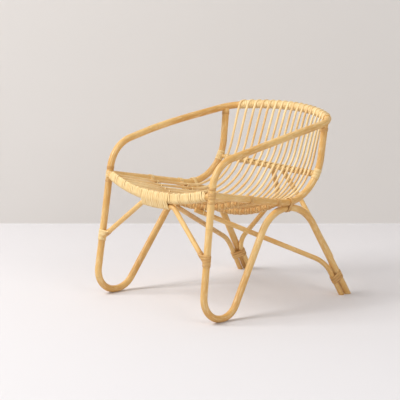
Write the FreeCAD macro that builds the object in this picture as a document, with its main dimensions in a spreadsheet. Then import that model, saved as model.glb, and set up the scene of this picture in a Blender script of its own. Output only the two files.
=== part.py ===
"""Rattan lounge chair: bent poles, peel wraps and a seat of thin spindles.

Millimetres. X runs across the chair, the front faces -Y, Z is up and the floor is Z = 0.
Every pole is a round section swept along straight runs joined by tangent bends.
"""

import math
import os

import FreeCAD
import Part

Vector = FreeCAD.Vector
ACROSS = Vector(1, 0, 0)
BACKWARDS = Vector(0, 1, 0)
UPWARDS = Vector(0, 0, 1)
SIDES = {"left": -1, "right": 1}

SIZES = [
    # Stock
    ("pole_dia", 28.0, "main poles"),
    ("thin_dia", 20.0, "braces and stretchers"),
    ("spindle_dia", 9.0, "seat and back spindles"),
    ("cross_dia", 22.0, "cross rails under the seat"),
    ("lumbar_dia", 18.0, "rail across the back"),
    ("peel", 1.8, "thickness of a layer of wrapped peel"),
    ("fit_gap", 0.2, "between a wrap or socket and its pole"),
    ("seat_gap", 0.3, "between poles that rest on each other"),
    ("cope_stop", 7.0, "coped end of a pole, short of the other pole's axis"),
    ("cope_reach", 70.0, "length of a coping tool to each side"),
    # Arm hoop
    ("hoop_height", 733.5, "axis at the middle of the back"),
    ("hoop_depth", 387.0, "axis at the middle of the back"),
    ("hoop_tilt", 9.7, "slope of the hoop, degrees"),
    ("back_radius", 490.0, "bow of the top rail"),
    ("back_turn", 30.5, "half of the top rail's bow, degrees"),
    ("shoulder_half", 299.0, "half width where back and arm lines meet"),
    ("shoulder_radius", 104.0, "bend from back to arm"),
    ("arm_half", 330.0, "half width at the swell of the arms"),
    ("arm_depth", -65.0, "place of the swell"),
    ("arm_rise", 11.0, "swell above the slope of the hoop"),
    ("arm_radius", 1800.0, "bend at the swell"),
    ("elbow_half", 309.5, "half width where arm and leg lines meet"),
    ("elbow_depth", -327.0, "where arm and leg lines meet"),
    ("elbow_radius", 125.0, "bend from arm to leg"),
    # Leg loops
    ("joint_height", 249.0, "butt joint of hoop and leg loop"),
    ("toe_half", 331.0, "half width of the foot, front corner"),
    ("toe_depth", -407.0, "front corner of the foot"),
    ("heel_half", 327.0, "half width of the foot, rear corner"),
    ("heel_depth", -254.0, "rear corner of the foot"),
    ("foot_radius", 89.0, "bends of the round foot"),
    ("foot_flat", 1.0, "sanded off the round foot"),
    ("arch_depth", 80.0, "top of the arch"),
    ("arch_lean", 28.0, "arch inwards of the side rail, degrees"),
    ("arch_radius", 164.0, "bend of the arch"),
    ("rear_foot_half", 308.5, "half width of the rear feet"),
    ("rear_foot_depth", 393.0, "rear feet"),
    # Side rails
    ("seat_height", 496.0, "rails at the front legs"),
    ("dip_half", 287.0, "half width where seat and stile lines meet"),
    ("dip_depth", 225.0, "where seat and stile lines meet"),
    ("dip_height", 380.0, "where seat and stile lines meet"),
    ("dip_radius", 182.0, "bend from seat to stile"),
    ("stile_depth", 266.0, "stile under the hoop"),
    # Rails across the chair
    ("front_mid_depth", -370.0, "front rail, middle"),
    ("front_mid_height", 447.0, "front rail, middle"),
    ("cross_front_depth", -139.0, "front cross rail, ends"),
    ("cross_front_bow", 40.0, "front cross rail, forwards"),
    ("cross_front_sag", 62.0, "front cross rail, down"),
    ("cross_rear_depth", 11.0, "rear cross rail, ends"),
    ("cross_rear_bow", 14.0, "rear cross rail, forwards"),
    ("cross_rear_sag", 72.0, "rear cross rail, down"),
    ("lumbar_height", 510.0, "lumbar rail, ends"),
    ("lumbar_bow", 54.0, "lumbar rail, backwards"),
    ("lumbar_sag", 14.0, "lumbar rail, down"),
    # Spindles
    ("spindle_count", 17.0, "spindles"),
    ("spindle_pitch", 31.0, "across the chair"),
    ("hook_tail", 16.0, "spindle end behind the top rail"),
    ("front_lap", 9.0, "spindle end past the front rail's axis"),
    ("seat_run", 148.0, "rear cross rail to the corner of the seat"),
    ("back_bend_height", 540.0, "upper bend"),
    ("sling_radius", 500.0, "bend over the front cross rail"),
    ("seat_radius", 150.0, "bend from seat to back"),
    ("back_radius_low", 250.0, "upper bend"),
    # Front brace
    ("brace_run_left", 54.0, "middle run, left of the chair's middle"),
    ("brace_corner_radius", 32.0, "bends at the middle run"),
    ("brace_knee_radius", 24.0, "bends beside the legs"),
    ("brace_tail", 4.0, "end below the leg wrap"),
    ("bend_margin", 1.5, "straight run between a wrap and the next bend"),
    # Stretchers and rear braces
    ("stretcher_space", 5.0, "open gap to the rear leg"),
    ("stretcher_run", 21.0, "straight run above the foot wrap"),
    ("stretcher_radius", 150.0, "bend"),
    ("stretcher_half", 84.0, "where it passes under the cross rail"),
    ("stretcher_nose", 46.0, "length past the cross rail"),
    ("rear_brace_exit_radius", 45.0, "bend above the foot wrap"),
    ("rear_brace_half", 271.0, "half width at the lower bend"),
    ("rear_brace_depth", 339.0, "lower bend"),
    ("rear_brace_height", 150.0, "lower bend"),
    ("rear_brace_radius", 52.0, "lower bend"),
    ("crook_half", 64.0, "half width at the upper bend"),
    ("crook_depth", 353.0, "upper bend"),
    ("crook_height", 366.0, "upper bend"),
    ("crook_radius", 80.0, "upper bend"),
    ("rear_brace_top", 28.0, "half width at the lumbar rail"),
    # Wraps
    ("leg_wrap_width", 45.0, "round leg and front brace"),
    ("foot_wrap_height", 85.0, "round the three poles of a rear foot"),
    ("foot_wrap_width", 26.0, "round the three poles of a rear foot"),
    ("stile_wrap_width", 42.0, "at the lumbar rail"),
    ("side_tie_width", 18.0, "at the cross rails"),
    ("leg_ring_width", 12.0, "above and below the rail ends"),
    ("leg_ring_clear", 6.0, "from a rail end to the ring"),
    ("stile_ring_width", 16.0, "under the hoop"),
    ("stile_ring_drop", 14.0, "below the hoop's underside"),
    ("arch_wrap_width", 18.0, "round arch and side rail"),
    ("arch_wrap_gap", 1.0, "room for the bends inside the arch wrap"),
    ("centre_wrap_middle", 34.0, "right of the chair's middle"),
    ("centre_wrap_half", 64.0, "half length on the front rail"),
    ("binding_margin", 22.0, "bare rail end beside a binding"),
    ("top_binding_margin", 14.0, "top rail's binding past the last spindle"),
]


def make_sheet(document):
    """Put every driving size into a spreadsheet with its own alias."""
    sheet = document.addObject("Spreadsheet::Sheet", "sizes")
    for row, (alias, value, note) in enumerate(SIZES, start=1):
        sheet.set(f"A{row}", note)
        sheet.set(f"B{row}", str(value))
        sheet.setAlias(f"B{row}", alias)
    document.recompute()
    return sheet


doc = FreeCAD.newDocument("rattan_chair")
sizes = make_sheet(doc)


def size(alias):
    """Value of one named size."""
    return float(sizes.get(alias))


# Paths


def bent_wire(points, radii):
    """Straight runs through points, with a tangent bend at each inner one."""
    edges = []
    last = points[0]
    for before, corner, after, radius in zip(points, points[1:], points[2:], radii):
        back = (before - corner).normalize()
        ahead = (after - corner).normalize()
        half_angle = back.getAngle(ahead) / 2
        reach = radius / math.tan(half_angle)
        inwards = (back + ahead).normalize()
        middle = corner + inwards * (radius / math.sin(half_angle) - radius)
        start = corner + back * reach
        finish = corner + ahead * reach
        edges.append(Part.LineSegment(last, start).toShape())
        edges.append(Part.Arc(start, middle, finish).toShape())
        last = finish
    edges.append(Part.LineSegment(last, points[-1]).toShape())
    return Part.Wire(edges)


def point_along(wire, length):
    """Point and direction at a length from the start of a wire."""
    for edge in wire.Edges:
        if length <= edge.Length:
            break
        length -= edge.Length
    parameter = edge.getParameterByLength(min(length, edge.Length))
    return edge.valueAt(parameter), edge.tangentAt(parameter)


def length_where(wire, axis, value, low, high):
    """Length along a wire where its distance along an axis reaches a value."""
    rising = point_along(wire, high)[0].dot(axis) > point_along(wire, low)[0].dot(axis)
    for _ in range(40):
        middle = (low + high) / 2
        if (point_along(wire, middle)[0].dot(axis) < value) == rising:
            low = middle
        else:
            high = middle
    return low


def stretch(wire, start, finish):
    """The part of a wire between two lengths."""
    edges = []
    passed = 0.0
    for edge in wire.Edges:
        low = max(start - passed, 0.0)
        high = min(finish - passed, edge.Length)
        if high - low > 1e-6:
            first = edge.getParameterByLength(low)
            second = edge.getParameterByLength(high)
            edges.append(edge.Curve.toShape(first, second))
        passed += edge.Length
    return Part.Wire(edges)


def mirrored(point, side):
    """A point given for the right side, on either side."""
    return Vector(point.x * side, point.y, point.z)


def placed(points, side):
    """Points given for the right side, on either side."""
    return [mirrored(point, side) for point in points]


def corner_after(start, heading, target, radius, straight):
    """Corner past a straight run, just far enough for its bend towards a target."""
    reach = straight
    for _ in range(20):
        corner = start + heading * reach
        reach = straight + radius * math.tan(heading.getAngle(target - corner) / 2)
    return corner


def side_length(along, across, shift, reach):
    """How far to move along shift so that two crossing lines lie reach apart."""
    normal = along.cross(across).normalize()
    return reach / abs(normal.dot(shift))


class Bow:
    """A rail across the chair: one arc through two mirrored ends and a middle."""

    def __init__(self, end, middle):
        self.end = end
        self.middle = middle
        drop = Vector(0, end.y - middle.y, end.z - middle.z)
        self.radius = (end.x**2 + drop.Length**2) / (2 * drop.Length)
        self.rise = drop.normalize()
        self.wire = Part.Wire([Part.Arc(mirrored(end, -1), middle, end).toShape()])

    def at(self, x):
        """Point of the rail's axis at a distance from the middle."""
        lift = self.radius - math.sqrt(self.radius**2 - x**2)
        return self.middle + ACROSS * x + self.rise * lift

    def heading(self, x):
        """Direction of the rail at a distance from the middle."""
        slope = x / math.sqrt(self.radius**2 - x**2)
        return (ACROSS + self.rise * slope).normalize()


# Solids


def add_path(label, wire):
    """Keep a wire in the document as the spine of a sweep."""
    path = doc.addObject("Part::Feature", f"{label}_path")
    path.Shape = wire
    return path


def sweep(label, path, section):
    """Solid swept along the whole of a path."""
    body = doc.addObject("Part::Sweep", label)
    body.Sections = [section]
    body.Spine = (path, [f"Edge{number}" for number in range(1, len(path.Shape.Edges) + 1)])
    body.Solid = True
    body.Frenet = False
    body.Transition = "Transformed"
    return body


def pole(label, path, radius):
    """Round pole along a path; the radius is an expression on the sheet."""
    start, heading = point_along(path.Shape, 0.0)
    section = doc.addObject("Part::Circle", f"{label}_section")
    section.setExpression("Radius", radius)
    section.Placement = FreeCAD.Placement(start, FreeCAD.Rotation(UPWARDS, heading))
    return sweep(label, path, section)


def cut(label, base, *tools):
    """Base less each of the tools."""
    for number, tool in enumerate(tools, start=1):
        result = doc.addObject("Part::Cut", label if number == len(tools) else f"{label}_stage")
        result.Base = base
        result.Tool = tool
        base = result
    return base


def sleeve(label, wire, start, finish, radius):
    """Layer of peel round one pole, from one length of its path to another."""
    path = add_path(label, stretch(wire, start, finish))
    inside = f"{radius} + sizes.fit_gap"
    outer = pole(f"{label}_outer", path, f"{inside} + sizes.peel")
    inner = pole(f"{label}_inner", path, inside)
    return cut(label, outer, inner)


def sleeve_at(label, wire, length, width, radius):
    """Layer of peel of a given width, centred at a length along the path."""
    return sleeve(label, wire, length - width / 2, length + width / 2, radius)


def belt_wire(discs, spread, place, right, up):
    """Tight belt round discs (x, y, radius), each grown by spread."""
    discs = [(x, y, radius + spread) for x, y, radius in discs]
    middle_x = sum(disc[0] for disc in discs) / len(discs)
    middle_y = sum(disc[1] for disc in discs) / len(discs)
    discs.sort(key=lambda disc: math.atan2(disc[1] - middle_y, disc[0] - middle_x))

    def spot(disc, angle):
        x = disc[0] + disc[2] * math.cos(angle)
        y = disc[1] + disc[2] * math.sin(angle)
        return place + right * x + up * y

    angles = []
    for disc, following in zip(discs, discs[1:] + discs[:1]):
        gap_x = following[0] - disc[0]
        gap_y = following[1] - disc[1]
        opening = math.acos((disc[2] - following[2]) / math.hypot(gap_x, gap_y))
        angles.append(math.atan2(gap_y, gap_x) - opening)

    edges = []
    for number, disc in enumerate(discs):
        arrive = angles[number - 1]
        turn = (angles[number] - arrive) % (2 * math.pi)
        ends = [spot(disc, arrive + turn * share) for share in (0, 0.5, 1)]
        following = discs[(number + 1) % len(discs)]
        edges.append(Part.Arc(*ends).toShape())
        edges.append(Part.LineSegment(ends[2], spot(following, angles[number])).toShape())
    return Part.Wire(edges)


def belt_outlines(label, place, axis, poles, gap):
    """Inner and outer outline of peel round several poles, square to an axis."""
    right = BACKWARDS.cross(axis)
    if right.Length < 0.5:
        right = UPWARDS.cross(axis)
    right = right.normalize()
    up = axis.cross(right).normalize()
    discs = [((point - place).dot(right), (point - place).dot(up), radius) for point, radius in poles]
    outlines = []
    for name, spread in (("outer", gap + size("peel")), ("inner", gap)):
        outline = doc.addObject("Part::Feature", f"{label}_{name}_outline")
        outline.Shape = belt_wire(discs, spread, place, right, up)
        outlines.append(outline)
    return outlines


def belt(label, place, axis, poles, width, gap):
    """Straight wrap of peel round several poles, centred at a place."""
    bodies = []
    for outline in belt_outlines(label, place, axis, poles, gap):
        body = doc.addObject("Part::Extrusion", f"{outline.Name}_body")
        body.Base = outline
        body.DirMode = "Custom"
        body.Dir = axis
        body.setExpression("LengthFwd", width)
        body.Symmetric = True
        body.Solid = True
        bodies.append(body)
    return cut(label, *bodies)


nodes = []


def keep(*bodies):
    """Mark finished bodies as pieces of the chair."""
    nodes.extend(bodies)


# Driving points, for the right side

pole_radius = size("pole_dia") / 2
thin_radius = size("thin_dia") / 2
spindle_radius = size("spindle_dia") / 2
wrap_layer = size("fit_gap") + size("peel")
tilt = math.radians(size("hoop_tilt"))


def on_hoop(x, along):
    """Point of the hoop's plane; along is measured from the middle of the back."""
    run = Vector(0, math.cos(tilt), math.sin(tilt)) * along
    return Vector(x, size("hoop_depth"), size("hoop_height")) + run


def on_hoop_at_depth(x, depth):
    """Point of the hoop's plane at a depth of the chair."""
    return on_hoop(x, (depth - size("hoop_depth")) / math.cos(tilt))


turn = math.radians(size("back_turn"))
apex_along = size("back_radius") * (1 / math.cos(turn) - 1)
apex = on_hoop(0, apex_along)
shoulder = on_hoop(size("shoulder_half"), apex_along - size("shoulder_half") * math.tan(turn))
swell = on_hoop_at_depth(size("arm_half"), size("arm_depth")) + UPWARDS * size("arm_rise")
elbow = on_hoop_at_depth(size("elbow_half"), size("elbow_depth"))
foot_axis = pole_radius - size("foot_flat")
toe = Vector(size("toe_half"), size("toe_depth"), foot_axis)
heel = Vector(size("heel_half"), size("heel_depth"), foot_axis)
rear_foot = Vector(size("rear_foot_half"), size("rear_foot_depth"), 0)
leg_down = (toe - elbow).normalize()


def on_leg(height):
    """Point of the front leg's axis at a height."""
    return elbow + leg_down * ((height - elbow.z) / leg_down.z)


# Paths of the hoop and the side rails

joint = on_leg(size("joint_height"))
hoop_right = [swell, elbow, joint]
hoop_points = [mirrored(point, -1) for point in reversed([shoulder] + hoop_right)]
hoop_points += [apex, shoulder] + hoop_right
hoop_radii = [size("elbow_radius"), size("arm_radius"), size("shoulder_radius")]
hoop_wire = bent_wire(hoop_points, hoop_radii + [size("back_radius")] + hoop_radii[::-1])
hoop_path = add_path("arm_hoop", hoop_wire)

half_hoop = hoop_wire.Length / 2
stile_at = length_where(hoop_wire, BACKWARDS, size("stile_depth"), half_hoop, hoop_wire.Length)
stile_top = point_along(hoop_wire, stile_at)[0]
seat_corner = on_leg(size("seat_height"))
dip = Vector(size("dip_half"), size("dip_depth"), size("dip_height"))

side_wires = {}
for name, side in SIDES.items():
    side_points = placed((seat_corner, dip, stile_top), side)
    side_wires[name] = bent_wire(side_points, [size("dip_radius")])
side_wire = side_wires["right"]


def coped(wire):
    """Path of a pole whose two ends are coped, each short of the other pole's axis."""
    return stretch(wire, size("cope_stop"), wire.Length - size("cope_stop"))


def side_length_at(axis, value):
    """Length along the right side rail where it reaches a depth or height."""
    lowest = length_where(side_wire, BACKWARDS, size("arch_depth"), 0, side_wire.Length)
    start = lowest if axis == UPWARDS else 0
    return length_where(side_wire, axis, value, start, side_wire.Length)


cross_front_at = side_length_at(BACKWARDS, size("cross_front_depth"))
cross_rear_at = side_length_at(BACKWARDS, size("cross_rear_depth"))
arch_at = side_length_at(BACKWARDS, size("arch_depth"))
lumbar_at = side_length_at(UPWARDS, size("lumbar_height"))

# Rails across the chair

front_bow = Bow(seat_corner, Vector(0, size("front_mid_depth"), size("front_mid_height")))


def sagging(length, bow, sag):
    """Rail between the side rails, with its middle moved back and down."""
    end = point_along(side_wire, length)[0]
    return Bow(end, Vector(0, end.y + bow, end.z - sag))


cross_front_bow = sagging(cross_front_at, -size("cross_front_bow"), size("cross_front_sag"))
cross_rear_bow = sagging(cross_rear_at, -size("cross_rear_bow"), size("cross_rear_sag"))
lumbar_bow = sagging(lumbar_at, size("lumbar_bow"), size("lumbar_sag"))

# Poles that cope others

hoop = pole("arm_hoop", hoop_path, "sizes.pole_dia / 2")
floor = doc.addObject("Part::Box", "floor_cut")
floor.Length = 4 * size("toe_half")
floor.Width = 4 * size("toe_half")
floor.Height = 4 * size("pole_dia")
floor.Placement.Base = Vector(-2 * size("toe_half"), -2 * size("toe_half"), -4 * size("pole_dia"))
keep(hoop)

seat_at = hoop_wire.Length - (seat_corner - joint).Length


def hoop_room(label, length, side):
    """Tool that copes a pole to the hoop, at a length given for the right side."""
    middle = length if side > 0 else hoop_wire.Length - length
    wire = stretch(hoop_wire, middle - size("cope_reach"), middle + size("cope_reach"))
    return pole(label, add_path(label, wire), "sizes.pole_dia / 2 + sizes.fit_gap")


leg_rooms = []
side_rooms = []
for name, wire in side_wires.items():
    leg_rooms.append(hoop_room(f"leg_room_{name}", seat_at, SIDES[name]))
    stile_room = hoop_room(f"stile_room_{name}", stile_at, SIDES[name])
    path = add_path(f"side_rail_{name}", coped(wire))
    raw = pole(f"side_rail_{name}_raw", path, "sizes.pole_dia / 2")
    side_rooms.append(pole(f"side_room_{name}", path, "sizes.pole_dia / 2 + sizes.fit_gap"))
    keep(cut(f"side_rail_{name}", raw, leg_rooms[-1], stile_room))

# Spindles, each in its own upright plane

cross_reach = size("cross_dia") / 2 + wrap_layer + spindle_radius + size("seat_gap")
lumbar_reach = size("lumbar_dia") / 2 + wrap_layer + spindle_radius + size("seat_gap")
hoop_reach = pole_radius + wrap_layer + spindle_radius + size("seat_gap")
wrap_start = size("centre_wrap_middle") - size("centre_wrap_half")
wrap_end = size("centre_wrap_middle") + size("centre_wrap_half")


def hoop_crossing(x):
    """Point and direction of the top rail at a distance from the middle."""
    radius = size("back_radius")
    level = math.sqrt(radius**2 - x**2)
    point = on_hoop(x, level - radius)
    ahead = on_hoop(x + level, level - radius - x)
    return point, (ahead - point).normalize()


def spindle_points(x):
    """Corners of one spindle, from the front rail to its tip."""
    seat_heading = cross_rear_bow.at(x) - cross_front_bow.at(x)
    over_front = side_length(seat_heading, cross_front_bow.heading(x), UPWARDS, cross_reach)
    over_rear = side_length(seat_heading, cross_rear_bow.heading(x), UPWARDS, cross_reach)
    on_front = cross_front_bow.at(x) + UPWARDS * over_front
    on_rear = cross_rear_bow.at(x) + UPWARDS * over_rear
    corner = on_rear + (on_rear - on_front).normalize() * size("seat_run")

    back_heading = lumbar_bow.at(x) - BACKWARDS * lumbar_reach - corner
    before = side_length(back_heading, lumbar_bow.heading(x), BACKWARDS, lumbar_reach)
    on_lumbar = lumbar_bow.at(x) - BACKWARDS * before
    climb = on_lumbar - corner
    bend = corner + climb * ((size("back_bend_height") - corner.z) / climb.z)

    top, top_heading = hoop_crossing(x)
    rise = top - BACKWARDS * hoop_reach - bend
    before = side_length(rise, top_heading, BACKWARDS, hoop_reach)
    rise = top - BACKWARDS * before - bend
    above = side_length(BACKWARDS, top_heading, UPWARDS, hoop_reach)
    behind = side_length(UPWARDS, top_heading, BACKWARDS, hoop_reach)
    crest = top.z + above
    hook_front = bend + rise * ((crest - bend.z) / rise.z)
    hook_back = Vector(x, top.y + behind, crest)
    tip = hook_back - UPWARDS * (above + size("hook_tail"))

    reach = hoop_reach
    if wrap_start - spindle_radius < x < wrap_end + spindle_radius:
        reach += size("seat_gap") + size("peel")
    to_rail = front_bow.at(x) + UPWARDS * reach - on_front
    over = side_length(to_rail, front_bow.heading(x), UPWARDS, reach)
    on_rail = front_bow.at(x) + UPWARDS * over
    front_end = on_rail + (on_rail - on_front).normalize() * size("front_lap")
    return [front_end, on_front, corner, bend, hook_front, hook_back, tip]


count = int(size("spindle_count"))
spindle_radii = [size("sling_radius"), size("seat_radius"), size("back_radius_low"), hoop_reach, hoop_reach]
for number in range(count):
    x = (number - (count - 1) / 2) * size("spindle_pitch")
    label = f"spindle_{number + 1:02d}"
    path = add_path(label, bent_wire(spindle_points(x), spindle_radii))
    keep(pole(label, path, "sizes.spindle_dia / 2"))

# Binding of the top rail, under the spindles' hooks

bound_half = (count - 1) / 2 * size("spindle_pitch") + size("top_binding_margin")
bound_end = length_where(hoop_wire, ACROSS, bound_half, half_hoop, stile_at)
bound_start = hoop_wire.Length - bound_end
keep(sleeve("top_rail_binding", hoop_wire, bound_start, bound_end, "sizes.pole_dia / 2"))

# Front rail and its binding

front_path = add_path("front_rail", coped(front_bow.wire))
front_raw = pole("front_rail_raw", front_path, "sizes.pole_dia / 2")
keep(cut("front_rail", front_raw, *leg_rooms, *side_rooms))
margin = size("binding_margin")
front_length = front_bow.wire.Length
keep(sleeve("front_rail_binding", front_bow.wire, margin, front_length - margin, "sizes.pole_dia / 2"))

# Cross rails and lumbar rail, each with its binding

for label, bow, diameter in (
    ("cross_rail_front", cross_front_bow, "sizes.cross_dia"),
    ("cross_rail_rear", cross_rear_bow, "sizes.cross_dia"),
    ("lumbar_rail", lumbar_bow, "sizes.lumbar_dia"),
):
    raw = pole(f"{label}_raw", add_path(label, coped(bow.wire)), f"{diameter} / 2")
    keep(cut(label, raw, *side_rooms))
    keep(sleeve(f"{label}_binding", bow.wire, margin, bow.wire.Length - margin, f"{diameter} / 2"))

# Front brace: middle run under the front rail, ends beside the legs

under_rail = pole_radius + wrap_layer + thin_radius + size("seat_gap")
beside_leg = pole_radius + thin_radius + size("seat_gap")
half_leg_wrap = size("leg_wrap_width") / 2
brace_bow = Bow(front_bow.end - UPWARDS * under_rail, front_bow.middle - UPWARDS * under_rail)
inwards = (ACROSS * -1 + leg_down * leg_down.x).normalize()
leg_side = joint + inwards * beside_leg
above_wrap = leg_side - leg_down * half_leg_wrap
brace_end = leg_side + leg_down * (half_leg_wrap + size("brace_tail"))


def brace_half(x, side):
    """Corner, knee and end of the brace past one end of its middle run."""
    start = brace_bow.at(x)
    heading = brace_bow.heading(x) * side
    upwards = mirrored(leg_down, side) * -1
    margin = size("bend_margin")
    corner = start
    for _ in range(5):
        foot = mirrored(above_wrap, side)
        knee = corner_after(foot, upwards, corner, size("brace_knee_radius"), margin)
        corner = corner_after(start, heading, knee, size("brace_corner_radius"), margin)
    return [corner, knee, mirrored(brace_end, side)]


run_right = wrap_end + size("bend_margin")
left_turn = math.asin(size("brace_run_left") / brace_bow.radius)
right_turn = math.asin(run_right / brace_bow.radius)
aside = (right_turn - left_turn) / 2
apex_reach = brace_bow.radius / math.cos((right_turn + left_turn) / 2)
brace_centre = brace_bow.middle + brace_bow.rise * brace_bow.radius
outwards = ACROSS * math.sin(aside) - brace_bow.rise * math.cos(aside)
brace_apex = brace_centre + outwards * apex_reach
brace_left = brace_half(-size("brace_run_left"), -1)
brace_points = brace_left[::-1] + [brace_apex] + brace_half(run_right, 1)
brace_radii = [size("brace_knee_radius"), size("brace_corner_radius")]
brace_wire = bent_wire(brace_points, brace_radii + [brace_bow.radius] + brace_radii[::-1])
keep(pole("front_brace", add_path("front_brace", brace_wire), "sizes.thin_dia / 2"))

centre_ends = [length_where(front_bow.wire, ACROSS, x, 0, front_length) for x in (wrap_start, wrap_end)]
centre_stretch = stretch(front_bow.wire, *centre_ends)
centre_path = add_path("centre_wrap", centre_stretch)
centre_start, centre_heading = point_along(centre_stretch, 0.0)
centre_poles = [
    (centre_start, pole_radius + wrap_layer),
    (centre_start - UPWARDS * under_rail, thin_radius),
]
centre_outlines = belt_outlines("centre_wrap", centre_start, centre_heading, centre_poles, size("seat_gap"))
centre_bodies = [sweep(f"{outline.Name}_body", centre_path, outline) for outline in centre_outlines]
keep(cut("centre_wrap", *centre_bodies))

# Leg loops, stretchers, rear braces and the wraps that hold them

lean = math.radians(size("arch_lean"))
arch_reach = 2 * pole_radius + size("seat_gap")
arch_seat = point_along(side_wire, arch_at)[0]
arch_top = arch_seat - ACROSS * (arch_reach * math.sin(lean)) - UPWARDS * (arch_reach * math.cos(lean))


def arch_corner():
    """Where the two sides of the arch meet, so that its bend passes arch_top."""
    corner = arch_top + UPWARDS * size("arch_radius")
    for _ in range(30):
        down_front = (heel - corner).normalize()
        down_rear = (rear_foot - corner).normalize()
        half_angle = down_front.getAngle(down_rear) / 2
        above = size("arch_radius") * (1 / math.sin(half_angle) - 1)
        corner = arch_top - (down_front + down_rear).normalize() * above
    return corner


arch = arch_corner()
rear_up = (arch - rear_foot).normalize()
forwards = (BACKWARDS * -1 + rear_up * rear_up.y).normalize()
rear_inwards = (ACROSS * -1 + rear_up * rear_up.x + forwards * forwards.x).normalize()
sunk = size("pole_dia")


def on_rear_leg(height):
    """Point of the rear leg's axis at a height."""
    return rear_foot + rear_up * (height / rear_up.z)


stretcher_aside = forwards * (pole_radius + thin_radius + size("stretcher_space"))
brace_aside = rear_inwards * (pole_radius + thin_radius + size("seat_gap"))
foot_wrap_place = on_rear_leg(size("foot_wrap_height"))
foot_wrap_top = foot_wrap_place + rear_up * (size("foot_wrap_width") / 2)

pass_x = size("stretcher_half")
pass_point = cross_front_bow.at(pass_x)
pass_reach = size("cross_dia") / 2 + wrap_layer + thin_radius + size("seat_gap")
stretcher_pass = pass_point - UPWARDS * pass_reach
for _ in range(5):
    stretcher_bend = corner_after(
        foot_wrap_top + stretcher_aside,
        rear_up,
        stretcher_pass,
        size("stretcher_radius"),
        size("stretcher_run"),
    )
    pass_heading = stretcher_pass - stretcher_bend
    below = side_length(pass_heading, cross_front_bow.heading(pass_x), UPWARDS, pass_reach)
    stretcher_pass = pass_point - UPWARDS * below
stretcher_end = stretcher_pass + (stretcher_pass - stretcher_bend).normalize() * size("stretcher_nose")

rear_brace_bend = Vector(size("rear_brace_half"), size("rear_brace_depth"), size("rear_brace_height"))
rear_brace_exit = corner_after(
    foot_wrap_top + brace_aside,
    rear_up,
    rear_brace_bend,
    size("rear_brace_exit_radius"),
    size("bend_margin"),
)
crook = Vector(size("crook_half"), size("crook_depth"), size("crook_height"))
rear_brace_top = lumbar_bow.at(size("rear_brace_top"))

loop_corners = [joint + leg_down * size("fit_gap"), toe, heel, arch, rear_foot - rear_up * sunk]
loop_bends = [size("foot_radius"), size("foot_radius"), size("arch_radius")]
stretcher_corners = [on_rear_leg(-sunk) + stretcher_aside, stretcher_bend, stretcher_end]
rear_brace_foot = on_rear_leg(-sunk) + brace_aside
rear_brace_corners = [rear_brace_foot, rear_brace_exit, rear_brace_bend, crook, rear_brace_top]
rear_brace_bends = [size("rear_brace_exit_radius"), size("rear_brace_radius"), size("crook_radius")]

leg_ring_shift = pole_radius + size("leg_ring_clear") + size("leg_ring_width") / 2
leg_poles = [(joint, pole_radius), (leg_side, thin_radius)]
foot_poles = [
    (foot_wrap_place, pole_radius),
    (foot_wrap_place + stretcher_aside, thin_radius),
    (foot_wrap_place + brace_aside, thin_radius),
]
arch_poles = [(arch_seat, pole_radius), (arch_top, pole_radius)]


def room(label, wire, radius):
    """Tool that clears the space of a pole in the pieces it passes."""
    return pole(label, add_path(label, wire), radius)


lumbar_hole = room("lumbar_hole", lumbar_bow.wire, "sizes.lumbar_dia / 2 + sizes.fit_gap")
bound_lumbar = "sizes.lumbar_dia / 2 + sizes.peel + 2 * sizes.fit_gap"
lumbar_room = room("lumbar_room", lumbar_bow.wire, bound_lumbar)
cross_holes = {
    "front": room("cross_front_hole", cross_front_bow.wire, "sizes.cross_dia / 2 + sizes.fit_gap"),
    "rear": room("cross_rear_hole", cross_rear_bow.wire, "sizes.cross_dia / 2 + sizes.fit_gap"),
}


def floor_pole(label, corners, bends, radius, *tools):
    """Bent pole that stands on the floor and is coped round other poles."""
    raw = room(f"{label}_raw", bent_wire(corners, bends), radius)
    return cut(label, raw, floor, *tools)


def side_belt(label, side, place, axis, poles, width, gap):
    """Wrap given for the right side, on either side."""
    poles = [(mirrored(point, side), radius) for point, radius in poles]
    return belt(label, mirrored(place, side), mirrored(axis, side), poles, width, gap)


thin = "sizes.thin_dia / 2"
thick = "sizes.pole_dia / 2"
tight = size("fit_gap")
for name, side in SIDES.items():
    keep(floor_pole(f"leg_loop_{name}", placed(loop_corners, side), loop_bends, thick))
    stretcher_bends = [size("stretcher_radius")]
    keep(floor_pole(f"stretcher_{name}", placed(stretcher_corners, side), stretcher_bends, thin))
    rear_corners = placed(rear_brace_corners, side)
    keep(floor_pole(f"rear_brace_{name}", rear_corners, rear_brace_bends, thin, lumbar_room))

    # Wraps round several poles
    label = f"leg_wrap_{name}"
    keep(side_belt(label, side, joint, leg_down, leg_poles, "sizes.leg_wrap_width", tight))
    label = f"rear_foot_wrap_{name}"
    keep(side_belt(label, side, foot_wrap_place, rear_up, foot_poles, "sizes.foot_wrap_width", tight))
    label = f"arch_wrap_{name}"
    loose = size("arch_wrap_gap")
    keep(side_belt(label, side, arch_seat, BACKWARDS, arch_poles, "sizes.arch_wrap_width", loose))

    # Wraps round one pole
    wire = side_wires[name]
    stile_sleeve = sleeve_at(f"stile_sleeve_{name}", wire, lumbar_at, size("stile_wrap_width"), thick)
    keep(cut(f"stile_wrap_{name}", stile_sleeve, lumbar_hole))
    ring_at = wire.Length - pole_radius - size("stile_ring_drop")
    keep(sleeve_at(f"stile_ring_{name}", wire, ring_at, size("stile_ring_width"), thick))
    for place, at in (("front", cross_front_at), ("rear", cross_rear_at)):
        tie = sleeve_at(f"side_sleeve_{place}_{name}", wire, at, size("side_tie_width"), thick)
        keep(cut(f"side_tie_{place}_{name}", tie, cross_holes[place]))
    for place, shift in (("upper", leg_ring_shift), ("lower", -leg_ring_shift)):
        from_joint = (seat_corner - joint).Length + shift
        at = from_joint if side < 0 else hoop_wire.Length - from_joint
        keep(sleeve_at(f"leg_ring_{place}_{name}", hoop_wire, at, size("leg_ring_width"), thick))

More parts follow.
